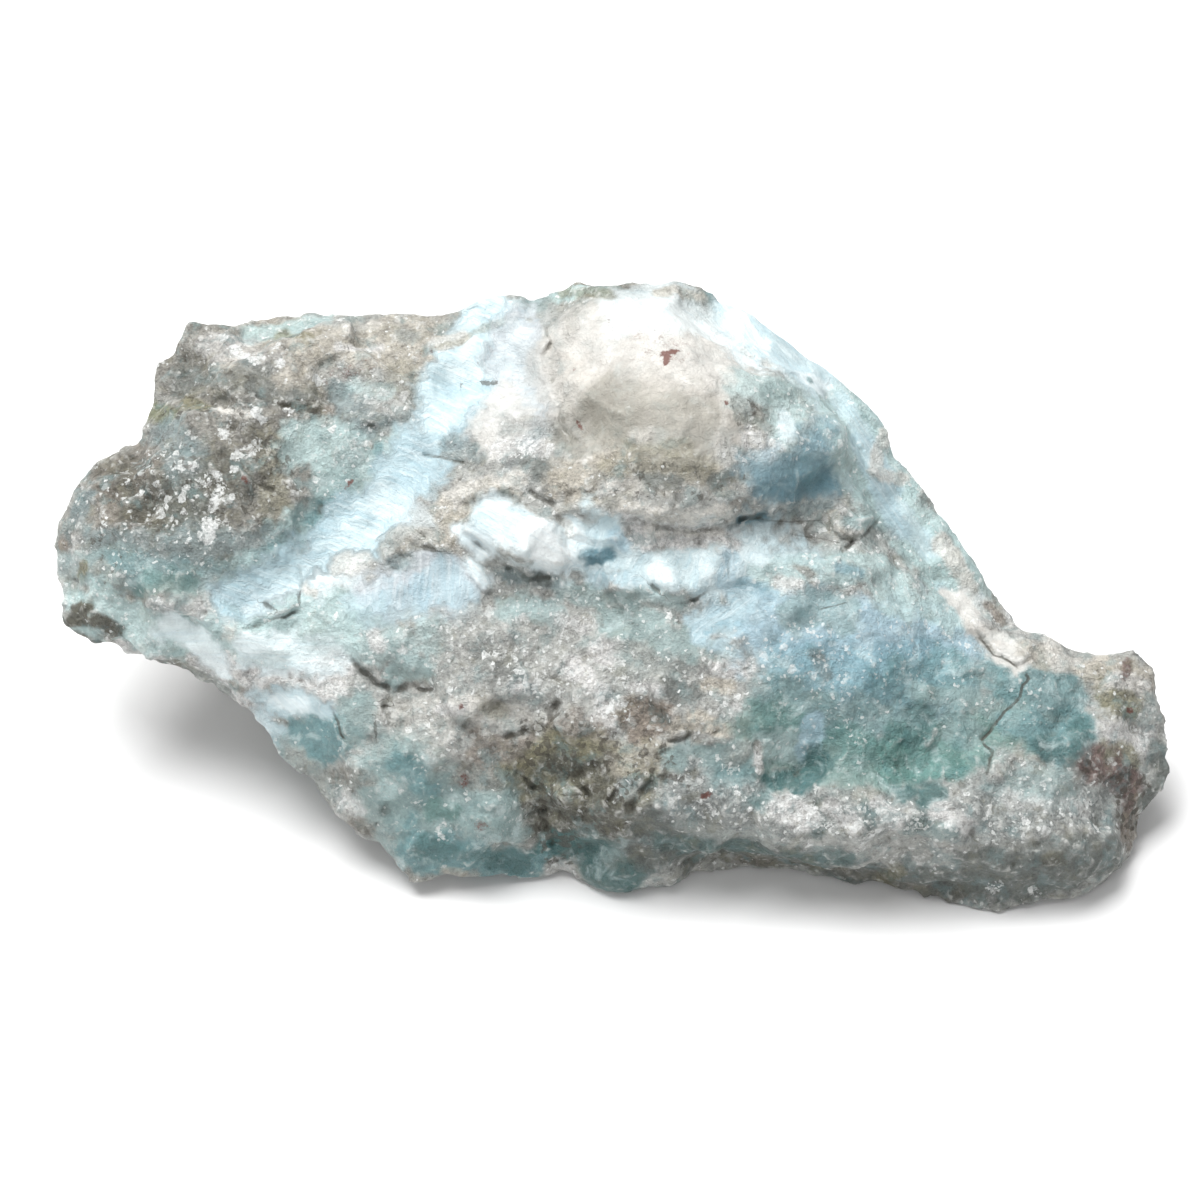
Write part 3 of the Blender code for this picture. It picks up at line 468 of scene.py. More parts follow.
        ("sugar", 1.4, 0.8, (18.4, -20.9), (20.4, -21.9)), ("sugar", 1.3, 0.8, (23.4, -21), (25.4, -22.6)),
        ("sugar", 0.9, 0.8, (28, -20.6), (29.6, -22.6)), ("sugar", 1.1, 0.8, (33.8, -20.8), (36.8, -22.6)),
        ("sugar", 1.2, 0.45, (41, -19.8), (48, -20.8)),
    ],
    # The front wall is painted darker than its rock alone: partly slate and dark rock, partly painted shade
    # for a wall that faces down and away from the light.
    "front wall": [
        ("slate", 2.8, 1, (5, -25), (16, -25.2), (26, -27), (36, -28.6)),
        ("teal slate", 1.4, 0.9, (6, -24.4), (14, -24.6), (24, -26)),
        ("ash", 0.9, 0.7, (8, -22.8), (14, -23.4), (17, -24.2)),
        ("dark host rock", 0.8, 0.7, (10, -25.8), (18, -26.4), (26, -28.4)),
        ("slate", 3, 0.95, (38, -27.6), (45, -27.4), (50, -25.4)),
        ("ash", 0.9, 0.3, (40, -24.6), (46, -25), (50, -24)),
        ("brown rock", 1, 0.3, (14, -26), (20, -26), (30, -28.6), (38, -30)),
        ("slate", 1.2, 0.6, (44, -24.4), (47.6, -24)), ("olive", 1, 0.5, (30, -26.8), (28, -28)),
        ("dark host rock", 1, 0.8, (44.8, -26.3), (45.8, -26)),
    ],
}

# Degrees from across to the fibres' own direction. Regions without one have 0.
FIBRE_ANGLES = {
    "silky band": -24.0, "below the band": 85.0, "fibrous patch": 40.0, "ledge": 75.0, "boss": -60.0,
    "right back slope": -55.0, "cheek": -45.0, "white vein": -40.0, "flake": -30.0,
}

# Spots finer than the zones: radius, density, then the line that they follow.
SPOTS = {
    "frost": [
        # sugary patches of the upper left slab
        (0.9, 3, (-38.6, 11.8), (-38.2, 11.2)), (0.9, 3, (-39.3, 7.4), (-39.3, 6.4)),
        (0.5, 3, (-40.8, 13.4)), (0.5, 3, (-37.6, 16.6)),
        (0.55, 3, (-34.4, 15.6), (-35.4, 14.8), (-36.4, 14.4)), (0.4, 3, (-36.6, 13)),
        (0.45, 3, (-38.4, 10), (-38.8, 9)), (0.6, 3, (-36.4, 24.8), (-34, 24)),
        (0.35, 3, (-41.4, 11.2), (-41.8, 10)), (0.35, 3, (-42, 13)), (0.35, 3, (-36.6, 10.4)),
        (0.3, 3, (-43.4, 9.4)), (0.35, 3, (-33.8, 18)), (0.45, 3, (-37.8, 26.2)), (0.5, 2, (-32.2, 25.4)),
        (0.5, 3, (-32, 23.7)), (0.6, 3, (-28.2, 22)), (0.6, 2, (-34.4, 18.8)), (0.5, 2, (-31.2, 18.9)),
        (5, 0.35, (-44, 12), (-41, 8)), (4, 0.25, (-50, 6), (-46, 4)),
        # elsewhere
        (3, 0.5, (1, -6), (1, -11)), (3, 0.35, (-10, -5), (-2, -8)), (3, 0.35, (18, -6), (22, -4)),
        (6, 0.2, (22, -9), (34, -4)), (1.6, 0.65, (19, -21.8), (28, -22), (36, -22)),
        (3, 0.25, (40, -20), (49, -20)), (1, 0.9, (-15.5, -23.2)), (4, 0.14, (-18, -18), (-12, -20)),
        (2, 0.3, (26, -14.2)), (2, 0.2, (42, -8), (44, -10)), (0.7, 1, (12.4, -16), (13.2, -17)),
        (0.4, 1, (15.6, -15), (15.8, -17)), (1.2, 0.7, (-9.6, 15), (-5.6, 15.6)), (1.4, 0.7, (54, -14)),
        (2, 0.4, (-24, 16), (-27, 12)), (1, 0.9, (39.5, -28.6)), (0.7, 0.9, (43.5, -29)),
    ],
    "grime": [
        (5, 0.35, (-44, 13), (-38, 20)), (3, 0.4, (-34, 11.4), (-33, 14)),
        (0.9, 0.8, (-31.4, 19.4), (-28.4, 19.4)), (0.3, 0.6, (-13.8, 21.5), (-10.4, 21.8)),
        (5, 0.45, (-5, -15), (2, -17)), (3, 0.6, (-5, -20), (-4, -24)), (2.4, 0.4, (6, -13.4), (8, -17)),
        (2.6, 0.6, (53, -18), (53, -22)), (2.4, 0.3, (2, 12), (14, 11)), (2, 0.4, (15, 18.6), (16, 19)),
        (3, 0.3, (-48, 8), (-50, 4)),
    ],
    "rust": [
        (0.9, 0.35, (-27.4, 22.2), (-25, 22.9), (-22.6, 23.9)), (0.8, 0.3, (-18, 24.4), (-16.6, 25)),
        (0.4, 0.7, (-35.6, 12.2), (-35.3, 11.8)), (0.25, 0.8, (-24.7, 12), (-25.5, 11.2)),
        (0.3, 1.1, (6.2, 24.6), (7.6, 24.9)), (0.35, 1.1, (6.6, 24.6), (6.6, 23.7)),
        (2.4, 0.3, (4.6, 25.4), (8, 25)), (0.2, 0.6, (1, 28), (1.1, 26.8)), (0.4, 0.45, (-2.6, 23.1)),
        (0.25, 0.6, (0.1, 23.8)), (0.2, 0.5, (0.7, 25.3)), (0.25, 0.6, (-2.2, 17.8), (-1.8, 17)),
        (0.25, 0.5, (-12.3, 23.6)), (0.3, 0.6, (-10.6, 26.4)), (0.2, 0.5, (12.9, 22.2)),
        (0.3, 0.9, (12.6, 19.7)), (0.2, 0.5, (4.8, 27.2), (5.4, 27)),
        (0.2, 0.5, (14.3, 21.9), (14.8, 22.4)), (0.4, 0.8, (-14, -10.6)),
        (0.4, 0.9, (10.4, -19.6), (10.9, -19.4)), (1, 0.5, (-13.6, -18)), (0.9, 0.5, (-12, -22.6)),
        (0.5, 0.7, (53, -11)),
    ],
}

# Cracks and crevices: half width, depth, darkness (the painted shade in the gap), then the line.
CRACKS = {
    "right end crack": (0.22, 0.7, 1, (42.6, -7.5), (42.9, -7.9), (42.2, -8.6), (42, -9.7), (41.2, -10.6),
                                      (40.5, -11.1), (39.7, -12.2), (38.9, -13.3), (38.2, -14),
                                      (38.5, -14.6), (39.3, -15.1), (39, -16), (38.7, -17.4)),
    "vein's lower edge": (0.16, 0.4, 0.9, (38, -3.9), (38.7, -4.6), (39.3, -5.5), (40.6, -5.9),
                                          (41.8, -6.8)),
    "wedge fissure": (0.22, 0.6, 0.8, (-17.6, 14.5), (-16, 14.3), (-14.6, 13.9), (-13.4, 13.7)),
    "cheek crack": (0.2, 0.6, 0.9, (-26.8, -11), (-26.2, -12.2), (-25.9, -13.5), (-25.5, -14)),
    "gap under the band": (0.2, 0.7, 0.6, (-35.5, -2.9), (-34.2, -2.6), (-32.5, -1.8), (-31.5, -1.7),
                                          (-30.3, -1)),
    "groove": (0.5, 1.4, 0.35, (-24.7, -6.2), (-24, -6.9), (-23.2, -7.6), (-22.2, -8.4), (-21, -8.9),
                               (-20, -9), (-19, -8.4)),
    "groove's tail": (0.3, 0.6, 0.6, (-18.4, -8.7), (-17.6, -9), (-16.6, -9)),
    "boss crease": (0.22, 0.7, 0.4, (-5.4, 27.4), (-5.3, 26.6), (-4.9, 25.9), (-5.2, 25.2), (-5.8, 24.4)),
    "boss edge": (0.25, 0.4, 0, (-3.9, 18), (-3.4, 17), (-2.7, 16), (-2.2, 15.2), (-1, 14.6), (0.4, 14)),
    "boss crevice": (0.2, 0.5, 0.2, (3.6, 8.2), (4.5, 7.6), (7, 7.2), (9, 6.7), (10, 7), (12.8, 7.3),
                                    (14, 7.9)),
    "boss crevice, deep end": (0.4, 1.4, 0.8, (14, 8.1), (15, 8.2), (16.4, 8.5)),
    "flank's foot line": (0.12, 0.5, 0.5, (16.4, 8), (19, 7.8), (22.4, 8)),
    "flank's second line": (0.1, 0.4, 0.4, (19, 6.6), (20, 6.4), (21.8, 6.2), (24, 5.7)),
    "block's foot": (0.14, 0.5, 0.5, (25.2, 6), (26, 6), (26.8, 7), (27.6, 7.9)),
    "block's holes": (0.35, 1.2, 0.9, (24.4, 5), (24.9, 5.4), (25.5, 6)),
    "flake's underside": (0.3, 0.9, 0.15, (-12.4, 5.8), (-11, 4.7), (-10, 3.9), (-8.5, 2.8), (-7, 2.1),
                                          (-5.2, 2.2)),
    "crevice above the flake": (0.35, 1, 0.5, (-7.2, 11.1), (-6.5, 10.5), (-5.6, 10), (-4.6, 9.6)),
    "ridge's shadow": (0.4, 0.3, 0.1, (-12.6, 9.7), (-11.4, 10.2), (-10, 10.3), (-8.6, 9.9)),
    "small hole": (0.35, 0.8, 0.8, (-17.6, 5.2), (-16.6, 5)),
    "teal notch": (0.8, 0.9, 0.35, (-20.6, 3.6), (-19.8, 4.1)),
    "slit in the middle": (0.45, 1.1, 0.95, (-9.2, -13.6), (-8.2, -13.4), (-7.4, -13)),
    "pit in the middle": (0.5, 1.3, 0.75, (-4.4, -10.3), (-5.1, -11.2), (-5, -12.1)),
    "pit below it": (0.35, 0.9, 0.8, (-5.9, -12.4), (-5.2, -12.7)),
    "left vug pit": (0.4, 1, 0.7, (-7.4, -18), (-6.6, -18.7)),
    "middle vug pit": (0.4, 1, 0.7, (-2.6, -18.3), (-1.5, -18.9), (-1.2, -19.6)),
    "right vug pit": (0.35, 0.9, 0.7, (1.6, -19.2), (0.9, -20.2)),
    "hollow in the middle": (0.8, 1, 0.3, (-11.4, -10.8), (-10.4, -10.4)),
    "small pit": (0.28, 0.8, 0.9, (-21.6, -10.6), (-21.4, -10.6)),
    "short slit": (0.25, 0.7, 0.7, (-22.5, -12.4), (-22.4, -13.4)),
    "band pits": (0.4, 0.6, 0.7, (-33.4, -0.5), (-33, -0.7)),
    "band slit": (0.25, 0.6, 0.7, (-30.1, 0.4), (-30.1, -0.2)),
    "notch left of the nodules": (0.4, 0.9, 0.7, (5.2, 1.4), (5.8, 0.9)),
    "shadow under the nodules": (0.2, 0.6, 0.5, (8.4, -0.4), (9.6, 0.1), (10.6, 0.8)),
    "crease between the nodules": (0.2, 0.7, 0, (12.9, 6), (12.8, 4.4), (13, 2.4)),
    "chip's shadow": (0.3, 0.7, 0.5, (6.8, -14.1), (8, -14), (9, -13.4)),
    "olive channel": (0.5, 0.7, 0.15, (5.6, -18), (4.4, -19), (3, -20.4)),
    "vug slit": (0.5, 1.2, 0.4, (-5.6, -21), (-5.4, -22.6), (-5, -24.2)),
    "vug mouth": (0.7, 1, 0.25, (-5, -17.6), (-2, -17.4), (0.6, -16.6)),
    "seam over the knob": (0.5, 1, 0.25, (-4.6, -26), (-2, -24.6), (1, -24), (4.6, -24.6)),
    "upper slab pit": (0.4, 0.7, 0.7, (-33.8, 11.4), (-32.8, 11)),
    "upper slab slits": (0.25, 0.5, 0.4, (-31.6, 19.4), (-30.8, 19.5)),
    "slab's right pits": (0.3, 0.6, 0.3, (-23.4, 17.6), (-22.6, 17.4)),
    "slope crease": (0.3, 0.6, 0, (13.9, 25.2), (16.4, 23.4), (20.8, 22)),
    "soft dark pit": (0.6, 0.4, 0.45, (21.8, -5.7), (22.4, -5.8)),
    "hollow crack": (0.12, 0.3, 0.7, (22, -0.9), (23.4, -0.6), (24.8, -0.2)),
    "silk crack": (0.14, 0.3, 0.5, (-18.4, 7), (-17.6, 6.4)),
    "silk step": (0.2, 0.4, 0.3, (-30, 3.2), (-29.8, 1.4)),
}

# Steps: height, reach, then the line. The high side is on the line's left, or on its right where the
# height is below 0.
STEPS = {
    "slab crest": (-0.5, 2.4, (-41.6, 21.9), (-40, 22.6), (-39.2, 23.6), (-37.8, 25), (-35.9, 25.8),
                              (-33.4, 26.1), (-31, 26.6), (-28, 26.2)),
    "slab's second step": (0.35, 1.8, (-41, 19.4), (-38, 20.2), (-36, 20.3), (-33, 20), (-30, 19.6),
                                      (-26.5, 18.5)),
    "hollow's little step": (-0.7, 2.4, (33.8, -11.7), (33.9, -12.8), (33.6, -14.1), (32.9, -14.8),
                                        (31.9, -15.5)),
    "band's lower edge": (0.45, 2, (-35.6, -2.4), (-32.6, -1.6), (-30.2, -0.8), (-27.4, 0.6)),
    "ridge above the flake": (0.5, 1.6, (-15, 8.6), (-13.6, 10), (-11.8, 10.8), (-10, 10.9), (-8.4, 11.6)),
    "flake's lower lip": (0.9, 3, (-11, 4.8), (-8.6, 3.9), (-7, 3.6), (-4.8, 3), (-3, 3.2)),
    "boss lip": (0.6, 2, (-4, 9.2), (0, 8.4), (4, 8.2), (8, 7.4), (12, 7.7)),
    "boss left edge": (-0.6, 2.2, (-3.6, 29.6), (-4.6, 28.6), (-5.4, 27.4), (-5, 26), (-5.8, 24.2),
                                  (-5.2, 22), (-4, 19.6), (-3.9, 18), (-2.7, 16), (-1, 14.6), (0.6, 14)),
    "nodule feet": (0.35, 1.6, (2, 0.2), (5, 0.8), (8, 0), (10.6, 1), (14, 1.8), (17, 1.4)),
    "slope ridge": (0.45, 1.6, (16, 22.6), (20, 22.6), (24, 19.4), (26.4, 14.6), (28.6, 10)),
    "second slope ridge": (0.35, 1.4, (25, 17.4), (27.4, 12.6), (30, 8.4), (32.4, 5)),
    "crest of the front wall": (0.3, 2, (8, -23.4), (16, -24), (22, -24.8), (30, -24.6), (38, -24.4),
                                        (46, -23.8)),
    "left strip edge": (0.4, 1.4, (-52, 0.4), (-46, -0.4), (-41, -0.8), (-38, -1)),
}

# Plates that stand proud: height, edge width, then the outline.
PLATES = {
    "first nodule": (0.5, 1.4, (-1.2, 2.8), (0.4, 0.6), (3, 0), (4.8, 1.2), (4.6, 3.4), (3, 4.4), (0.4, 4)),
    "second nodule": (0.6, 1.4, (4.9, 1.4), (7, 0.2), (8.8, 1), (8.6, 3.6), (7, 5.2), (5, 4.6)),
    "third nodule": (0.5, 1.6, (9, 0.8), (11, 1.2), (12.8, 1.8), (12.8, 5.4), (10.4, 5.8), (8.8, 4.4)),
    "fourth nodule": (0.5, 1.6, (13.2, 2), (16.4, 2), (18.4, 3.2), (18, 5.4), (15, 6), (13.1, 5.2)),
    "pale block": (0.6, 0.9, (-3.2, 6.2), (-2.8, 8.8), (0.6, 9.2), (3.2, 8), (2.6, 5.6), (-0.4, 5.2)),
    "flake": (0.7, 0.6, (-12.6, 5.8), (-10.2, 4.4), (-8.6, 4), (-7, 3.8), (-3.6, 3), (-2.8, 4), (-3.4, 5.6),
                        (-3.4, 7.2), (-4.2, 8.2), (-6, 8.9), (-8, 9.9), (-10.6, 9.9), (-13, 9.2), (-14, 8),
                        (-14, 6.8)),
    "white chip": (0.7, 0.25, (16.6, 9), (16.9, 8.4), (17.3, 8.3), (18, 9.1), (18, 9.5), (17, 9.6)),
    "tan block": (0.9, 0.35, (23.2, 7), (24, 6.2), (25.4, 6.1), (26.4, 6.2), (27.8, 8.2), (27.2, 8.6),
                             (25.6, 8.4), (24.6, 9.5), (22.8, 8.8)),
    "tan chip": (0.6, 0.25, (7, -13.8), (8, -13.9), (9, -13.2), (8.4, -12.8), (7.4, -12.9)),
    "vein wedge": (0.5, 0.4, (36.2, -1.2), (37.6, -3.2), (39.6, -5.4), (41.8, -6.6), (43.6, -5.6),
                             (41.6, -3.8), (38.4, -1.6), (37, -0.4)),
    "pale chip": (0.4, 0.4, (16, -13.8), (16, -16), (17.4, -16.4), (18.2, -14.6), (17, -13.6)),
    "square white grain": (0.4, 0.3, (-8.6, -8.4), (-8.6, -9.6), (-6.8, -9.8), (-6.8, -8.4)),
    "cream wedge": (0.5, 0.4, (-13.6, 4.6), (-12, 3.6), (-10.4, 1), (-11.6, 0.6), (-13.2, 2.4)),
}

# Where the outline needs a little more or less: place, reach, then the shift (across, up).
NUDGES = [
    ((-41.4, 27.4), 3.4, (-0.7, 1.3)), ((-45.6, 24), 3, (-0.6, 0.2)), ((-56, 2.6), 3, (-0.5, 0)),
    ((-31.6, -15.6), 4, (-0.6, -0.5)), ((-13, -28), 4, (0, -0.9)), ((31, -29.4), 4, (0, -0.6)),
    ((35.6, -29), 2, (0, -1)), ((5, 31.4), 3.4, (0, -0.6)),
]


def edge_distances(seen, line):
    """For each seen point: distance to the line, the side it is on (1 is left), and length along the line."""
    best = np.full(len(seen), 1e9)
    side = np.ones(len(seen))
    along = np.zeros(len(seen))
    start = 0.0
    for a, b in zip(line, line[1:]):
        run = np.subtract(b, a)
        length = math.hypot(*run)
        gap = seen - a
        share = np.clip(gap @ run / length**2, 0, 1)
        gap = gap - share[:, None] * run
        distance = np.hypot(gap[:, 0], gap[:, 1])
        closer = distance < best
        best[closer] = distance[closer]
        side[closer] = np.where(run[0] * gap[:, 1] - run[1] * gap[:, 0] >= 0, 1, -1)[closer]
        along[closer] = start + share[closer] * length
        start += length
    return best, side, along, start


def near(seen, line, reach):
    """Numbers of the seen points inside the line's box, grown by reach."""
    low, high = np.min(line, axis=0) - reach, np.max(line, axis=0) + reach
    return np.flatnonzero(((seen > low) & (seen < high)).all(axis=1))


def waves(points, size, place=(0.0, 0.0, 0.0)):
    """Smooth noise from -1 to 1 at each point, with features of the given size."""
    return np.array([noise.noise(Vector(p)) for p in points / size + place])


def fractal(points, place):
    """Noise whose features run from 4 mm down to 0.5 mm."""
    layers = ((4.0, 1.0), (1.9, 0.8), (0.9, 0.6), (0.5, 0.4))
    return sum(share * waves(points, size, place) for size, share in layers)


def tangle(points, size, place, reach):
    """A shift for each point, from three noises, that makes straight outlines ragged."""
    fields = [waves(points, size, np.add(place, shift)) for shift in (0.0, 31.4, 62.8)]
    return np.stack(fields, axis=1) * reach


def facet_height(place, lean):
    """Height, in cell sizes, of the flat facet that a place lies on, with a short ramp to the next one."""
    distances, centres = noise.voronoi(place)
    heights = []
    for centre in centres[:2]:
        tilt = noise.cell_vector(centre * FACET_SEED) - HALF
        offset = FACET_STEP * (noise.cell(centre * FACET_SEED + HALF) - 0.5)
        heights.append(lean * tilt.dot(place - centre) + offset)
    ramp = min((distances[1] - distances[0]) / FACET_RAMP, 1.0)
    return heights[0] * (1 + ramp) / 2 + heights[1] * (1 - ramp) / 2


def facets(points, size, lean, place):
    """Height of flat facets of the given size, each leaning its own way."""
    return np.array([size * facet_height(Vector(p), lean) for p in points / size + place])


# The stone's mesh

def evaluated(mesh, kind, weights=None, **settings):
    """A copy of the mesh with one modifier applied. Weights from 0 to 1 go in the group "weights"."""
    guide = bpy.data.objects.new("guide", mesh)
    if weights is not None:
        # They are rounded to tenths and kept off 0 and 1, so that every point counts for something.
        group = guide.vertex_groups.new(name="weights")
        for tenths in range(11):
            chosen = np.flatnonzero(np.round(weights * 10) == tenths)
            group.add([int(i) for i in chosen], 0.05 + tenths / 11, "REPLACE")
    bpy.context.scene.collection.objects.link(guide)
    modifier = guide.modifiers.new("step", kind)
    for key, value in settings.items():
        setattr(modifier, key, value)
    graph = bpy.context.evaluated_depsgraph_get()
    result = bpy.data.meshes.new_from_object(guide.evaluated_get(graph))
    bpy.data.objects.remove(guide)
    return result


def fine_copy():
    """A fine, even mesh of the solid's shape, with its outline nudged."""
    work = bmesh.new()
    work.from_mesh(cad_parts["larimar_stone"].data)
    bmesh.ops.remove_doubles(work, verts=work.verts, dist=WELD * MM)
    mesh = bpy.data.meshes.new("stone")
    work.to_mesh(mesh)
    work.free()
    mesh = evaluated(mesh, "DISPLACE", strength=PADDING * MM, mid_level=0.0)
    mesh = evaluated(mesh, "REMESH", mode="VOXEL", voxel_size=FINE_VOXEL * MM)
    mesh = evaluated(mesh, "SMOOTH", factor=0.5, iterations=CAD_SOFTENING)
    mesh = evaluated(mesh, "DISPLACE", strength=-0.5 * PADDING * MM, mid_level=0.0)
    mesh = evaluated(mesh, "SMOOTH", factor=0.5, iterations=2)
    seen = as_seen(face_points(mesh))
    shifts = np.zeros((len(seen), 3))
    for place, reach, shift in NUDGES:
        share = smooth(reach, 0.0, np.hypot(seen[:, 0] - place[0], seen[:, 1] - place[1]))
        shifts[:, :2] += share[:, None] * shift
    move(mesh, shifts)
    return mesh


def lifted(line, tree):
    """An (across, up) line laid on the surface as the camera sees it, as (across, up, out) points."""
    eye = np.array((0.0, 0.0, VIEW_DISTANCE))
    laid = []
    for across, up in line:
        sight = Vector((across, up, 0.0) - eye).normalized()
        hit = tree.ray_cast(Vector(eye), sight)[0]
        if hit is None:
            hit = tree.find_nearest(Vector((across, up, 0.0)))[0]
        laid.append(tuple(hit))
    return laid


def line_distance(points, line):
    """Distance from each point to a line of (across, up, out) points."""
    scale = np.array((1.0, 1.0, DEPTH_SHARE))
    points = points * scale
    line = np.array(line) * scale
    best = np.full(len(points), 1e9)
    ends = list(zip(line, line[1:])) or [(line[0], line[0] + (0.01, 0, 0))]
    for a, b in ends:
        run = b - a
        share = np.clip((points - a) @ run / (run @ run), 0, 1)
        best = np.minimum(best, np.linalg.norm(points - a - share[:, None] * run, axis=1))
    return best


def linear(colour):
    """Linear light of an sRGB 0-255 colour."""
    share = np.array(colour, float) / 255
    return np.where(share <= 0.04045, share / 12.92, ((share + 0.055) / 1.055) ** 2.4)


class Paint:
    """What each point of the stone is made of: colour, texture, fibre direction and spots."""

    def __init__(self, points):
        self.points = points
        count = len(points)
        self.tint = np.zeros((count, 3))
        self.texture = np.zeros((count, 3))  # granular, silky, glassy
        self.fibre = np.stack((points[:, 1], points[:, 0], points[:, 2]), axis=1)
        self.spots = {kind: np.zeros(count) for kind in SPOTS}
        self.warped = points + tangle(points, 4.2, 5.0, 1.2)
        self.frays = [fractal(points, (shift, 4.0, 1.0)) for shift in (4.0, 24.0, 44.0)]

    def cover(self, mineral, share):
        """Lays a mineral over the points, each by its own share."""
        colour, granular, silky, glassy, frost, grime = MINERALS[mineral]
        self.spots["frost"] += (frost - self.spots["frost"]) * share
        self.spots["grime"] += (grime - self.spots["grime"]) * share
        texture = (granular, silky, glassy)
        share = share[:, None]
        self.tint += (linear(colour) - self.tint) * share
        self.texture += (np.array(texture) - self.texture) * share

    def lay_host(self):
        """The rind and veins of the sides that the camera doesn't see, which the zones are laid over."""
        broad = waves(self.points, 15.0, (4.0, 1.0, 7.0)) + 0.4 * waves(self.points, 5.0, (2.0, 8.0, 3.0))
        veins = waves(self.points, 11.0, (9.0, 4.0, 2.0)) + 0.5 * waves(self.points, 4.0, (1.0, 6.0, 5.0))
        self.cover("host rock", np.ones(len(self.points)))
        self.cover("dark host rock", 0.6 * smooth(-0.05, -0.35, broad))
        self.cover("olive", 0.5 * smooth(0.1, 0.35, -veins))
        self.cover("tan", 0.6 * smooth(0.05, 0.3, broad * veins * 4))
        self.cover("teal", 0.9 * smooth(0.08, 0.26, broad))
        self.cover("pale teal", 0.8 * smooth(0.3, 0.42, broad))
        self.cover("sugar", 0.85 * smooth(0.24, 0.36, veins))

    def lay_zones(self, tree):
        """Strokes with ragged edges. Each turns the fibres its region's way."""
        for region, strokes in ZONES.items():
            angle = math.radians(FIBRE_ANGLES.get(region, 0.0))
            along = self.points[:, 0] * math.cos(angle) + self.points[:, 1] * math.sin(angle)
            across = self.points[:, 1] * math.cos(angle) - self.points[:, 0] * math.sin(angle)
            fibre = np.stack((across, along, self.points[:, 2]), axis=1)
            for number, (mineral, radius, strength, *line) in enumerate(strokes):
                ragged = self.points + (self.warped - self.points) * min(1.0, radius / RAGGED_RADIUS)
                fray = self.frays[number % 3] * min(MOST_FRAY, FRAY_SHARE * radius)
                distance = line_distance(ragged, lifted(line, tree)) + fray
                start, full = STROKE_EDGE
                share = strength * smooth(start * radius, full * radius, distance)
                self.cover(mineral, share)
                self.fibre += (fibre - self.fibre) * share[:, None]

    def lay_spots(self, tree):
        for kind, spots in SPOTS.items():
            for radius, density, *line in spots:
                distance = line_distance(self.points, lifted(line, tree))
                start, full = SPOT_EDGE
                share = density * smooth(start * radius, full * radius, distance)
                self.spots[kind] = np.maximum(self.spots[kind], share)


def painted(mesh):
    points = face_points(mesh)
    polygons = [tuple(p.vertices) for p in mesh.polygons]
    tree = BVHTree.FromPolygons([Vector(p) for p in points], polygons)
    paint = Paint(points)
    paint.lay_host()
    paint.lay_zones(tree)
    paint.lay_spots(tree)
    return paint


def inside_outline(seen, outline):
    """Whether each seen point is inside the outline."""
    inside = np.zeros(len(seen), bool)
    for a, b in zip(outline, outline[1:] + outline[:1]):
        crosses = (a[1] > seen[:, 1]) != (b[1] > seen[:, 1])
        rise = b[1] - a[1] if b[1] != a[1] else 1e-9
        at = a[0] + (seen[:, 1] - a[1]) * (b[0] - a[0]) / rise
        inside ^= crosses & (seen[:, 0] < at)
    return inside


def stroke_relief(points, front):
    """Height, along the sight lines, of the drawn steps, plates and cracks."""
    sway = np.stack((waves(points, 0.9, (3.0, 1.0, 2.0)), waves(points, 0.9, (8.0, 5.0, 1.0))), axis=1)
    seen = as_seen(points) + LINE_UNEVENNESS * sway
    height = np.zeros(len(points))
    for rise, reach, *line in STEPS.values():
        some = near(seen, line, reach * 3)
        distance, side, along, length = edge_distances(seen[some], line)
        taper = smooth(0, 1.5, along) * smooth(length, length - 1.5, along)
        inward = distance * side * np.sign(rise)
        fall = np.exp(-np.maximum(inward, 0) / reach)
        height[some] += abs(rise) * taper * smooth(-0.35, 0.45, inward) * fall
    for rise, edge, *outline in PLATES.values():
        some = near(seen, outline, 3.0)
        distance = edge_distances(seen[some], outline + outline[:1])[0]
        plate = smooth(0, edge, distance) * (0.75 + 0.25 * np.exp(-distance))
        height[some] += rise * np.where(inside_outline(seen[some], outline), plate, 0.0)
    for half, depth, _, *line in CRACKS.values():
        half = max(half, THINNEST_CRACK)
        some = near(seen, line, half * 4)
        distance = edge_distances(seen[some], line)[0]
        uneven = np.clip(0.6 + 1.2 * waves(points[some], 1.3, (2.0, 2.0, 6.0)), 0.15, 1.2)
        height[some] -= 0.6 * depth * uneven * np.clip(1.3 - distance / half, 0, 1)
    return height * front


def crack_lines(points, front):
    """Distance to the nearest crack in half widths, with a sign for its side, and how much painted shade the
    crack gets.
    """
    seen = as_seen(points)
    signed = np.full(len(points), 9.0)
    dark = np.zeros(len(points))
    for half, _, painted_shade, *line in CRACKS.values():
        some = near(seen, line, CRACK_REACH)
        distance, side, along, length = edge_distances(seen[some], line)
        scaled = distance / half
        closer = scaled < np.abs(signed[some])
        chosen = some[closer]
        signed[chosen] = (scaled * side)[closer]
        ends = 1.0
        if length > 1.2:
            ends = smooth(-0.05, 0.3, along) * smooth(length + 0.05, length - 0.3, along)
        dark[chosen] = (painted_shade * ends * smooth(6 * half, 3 * half, distance))[closer]
    return signed, dark * front


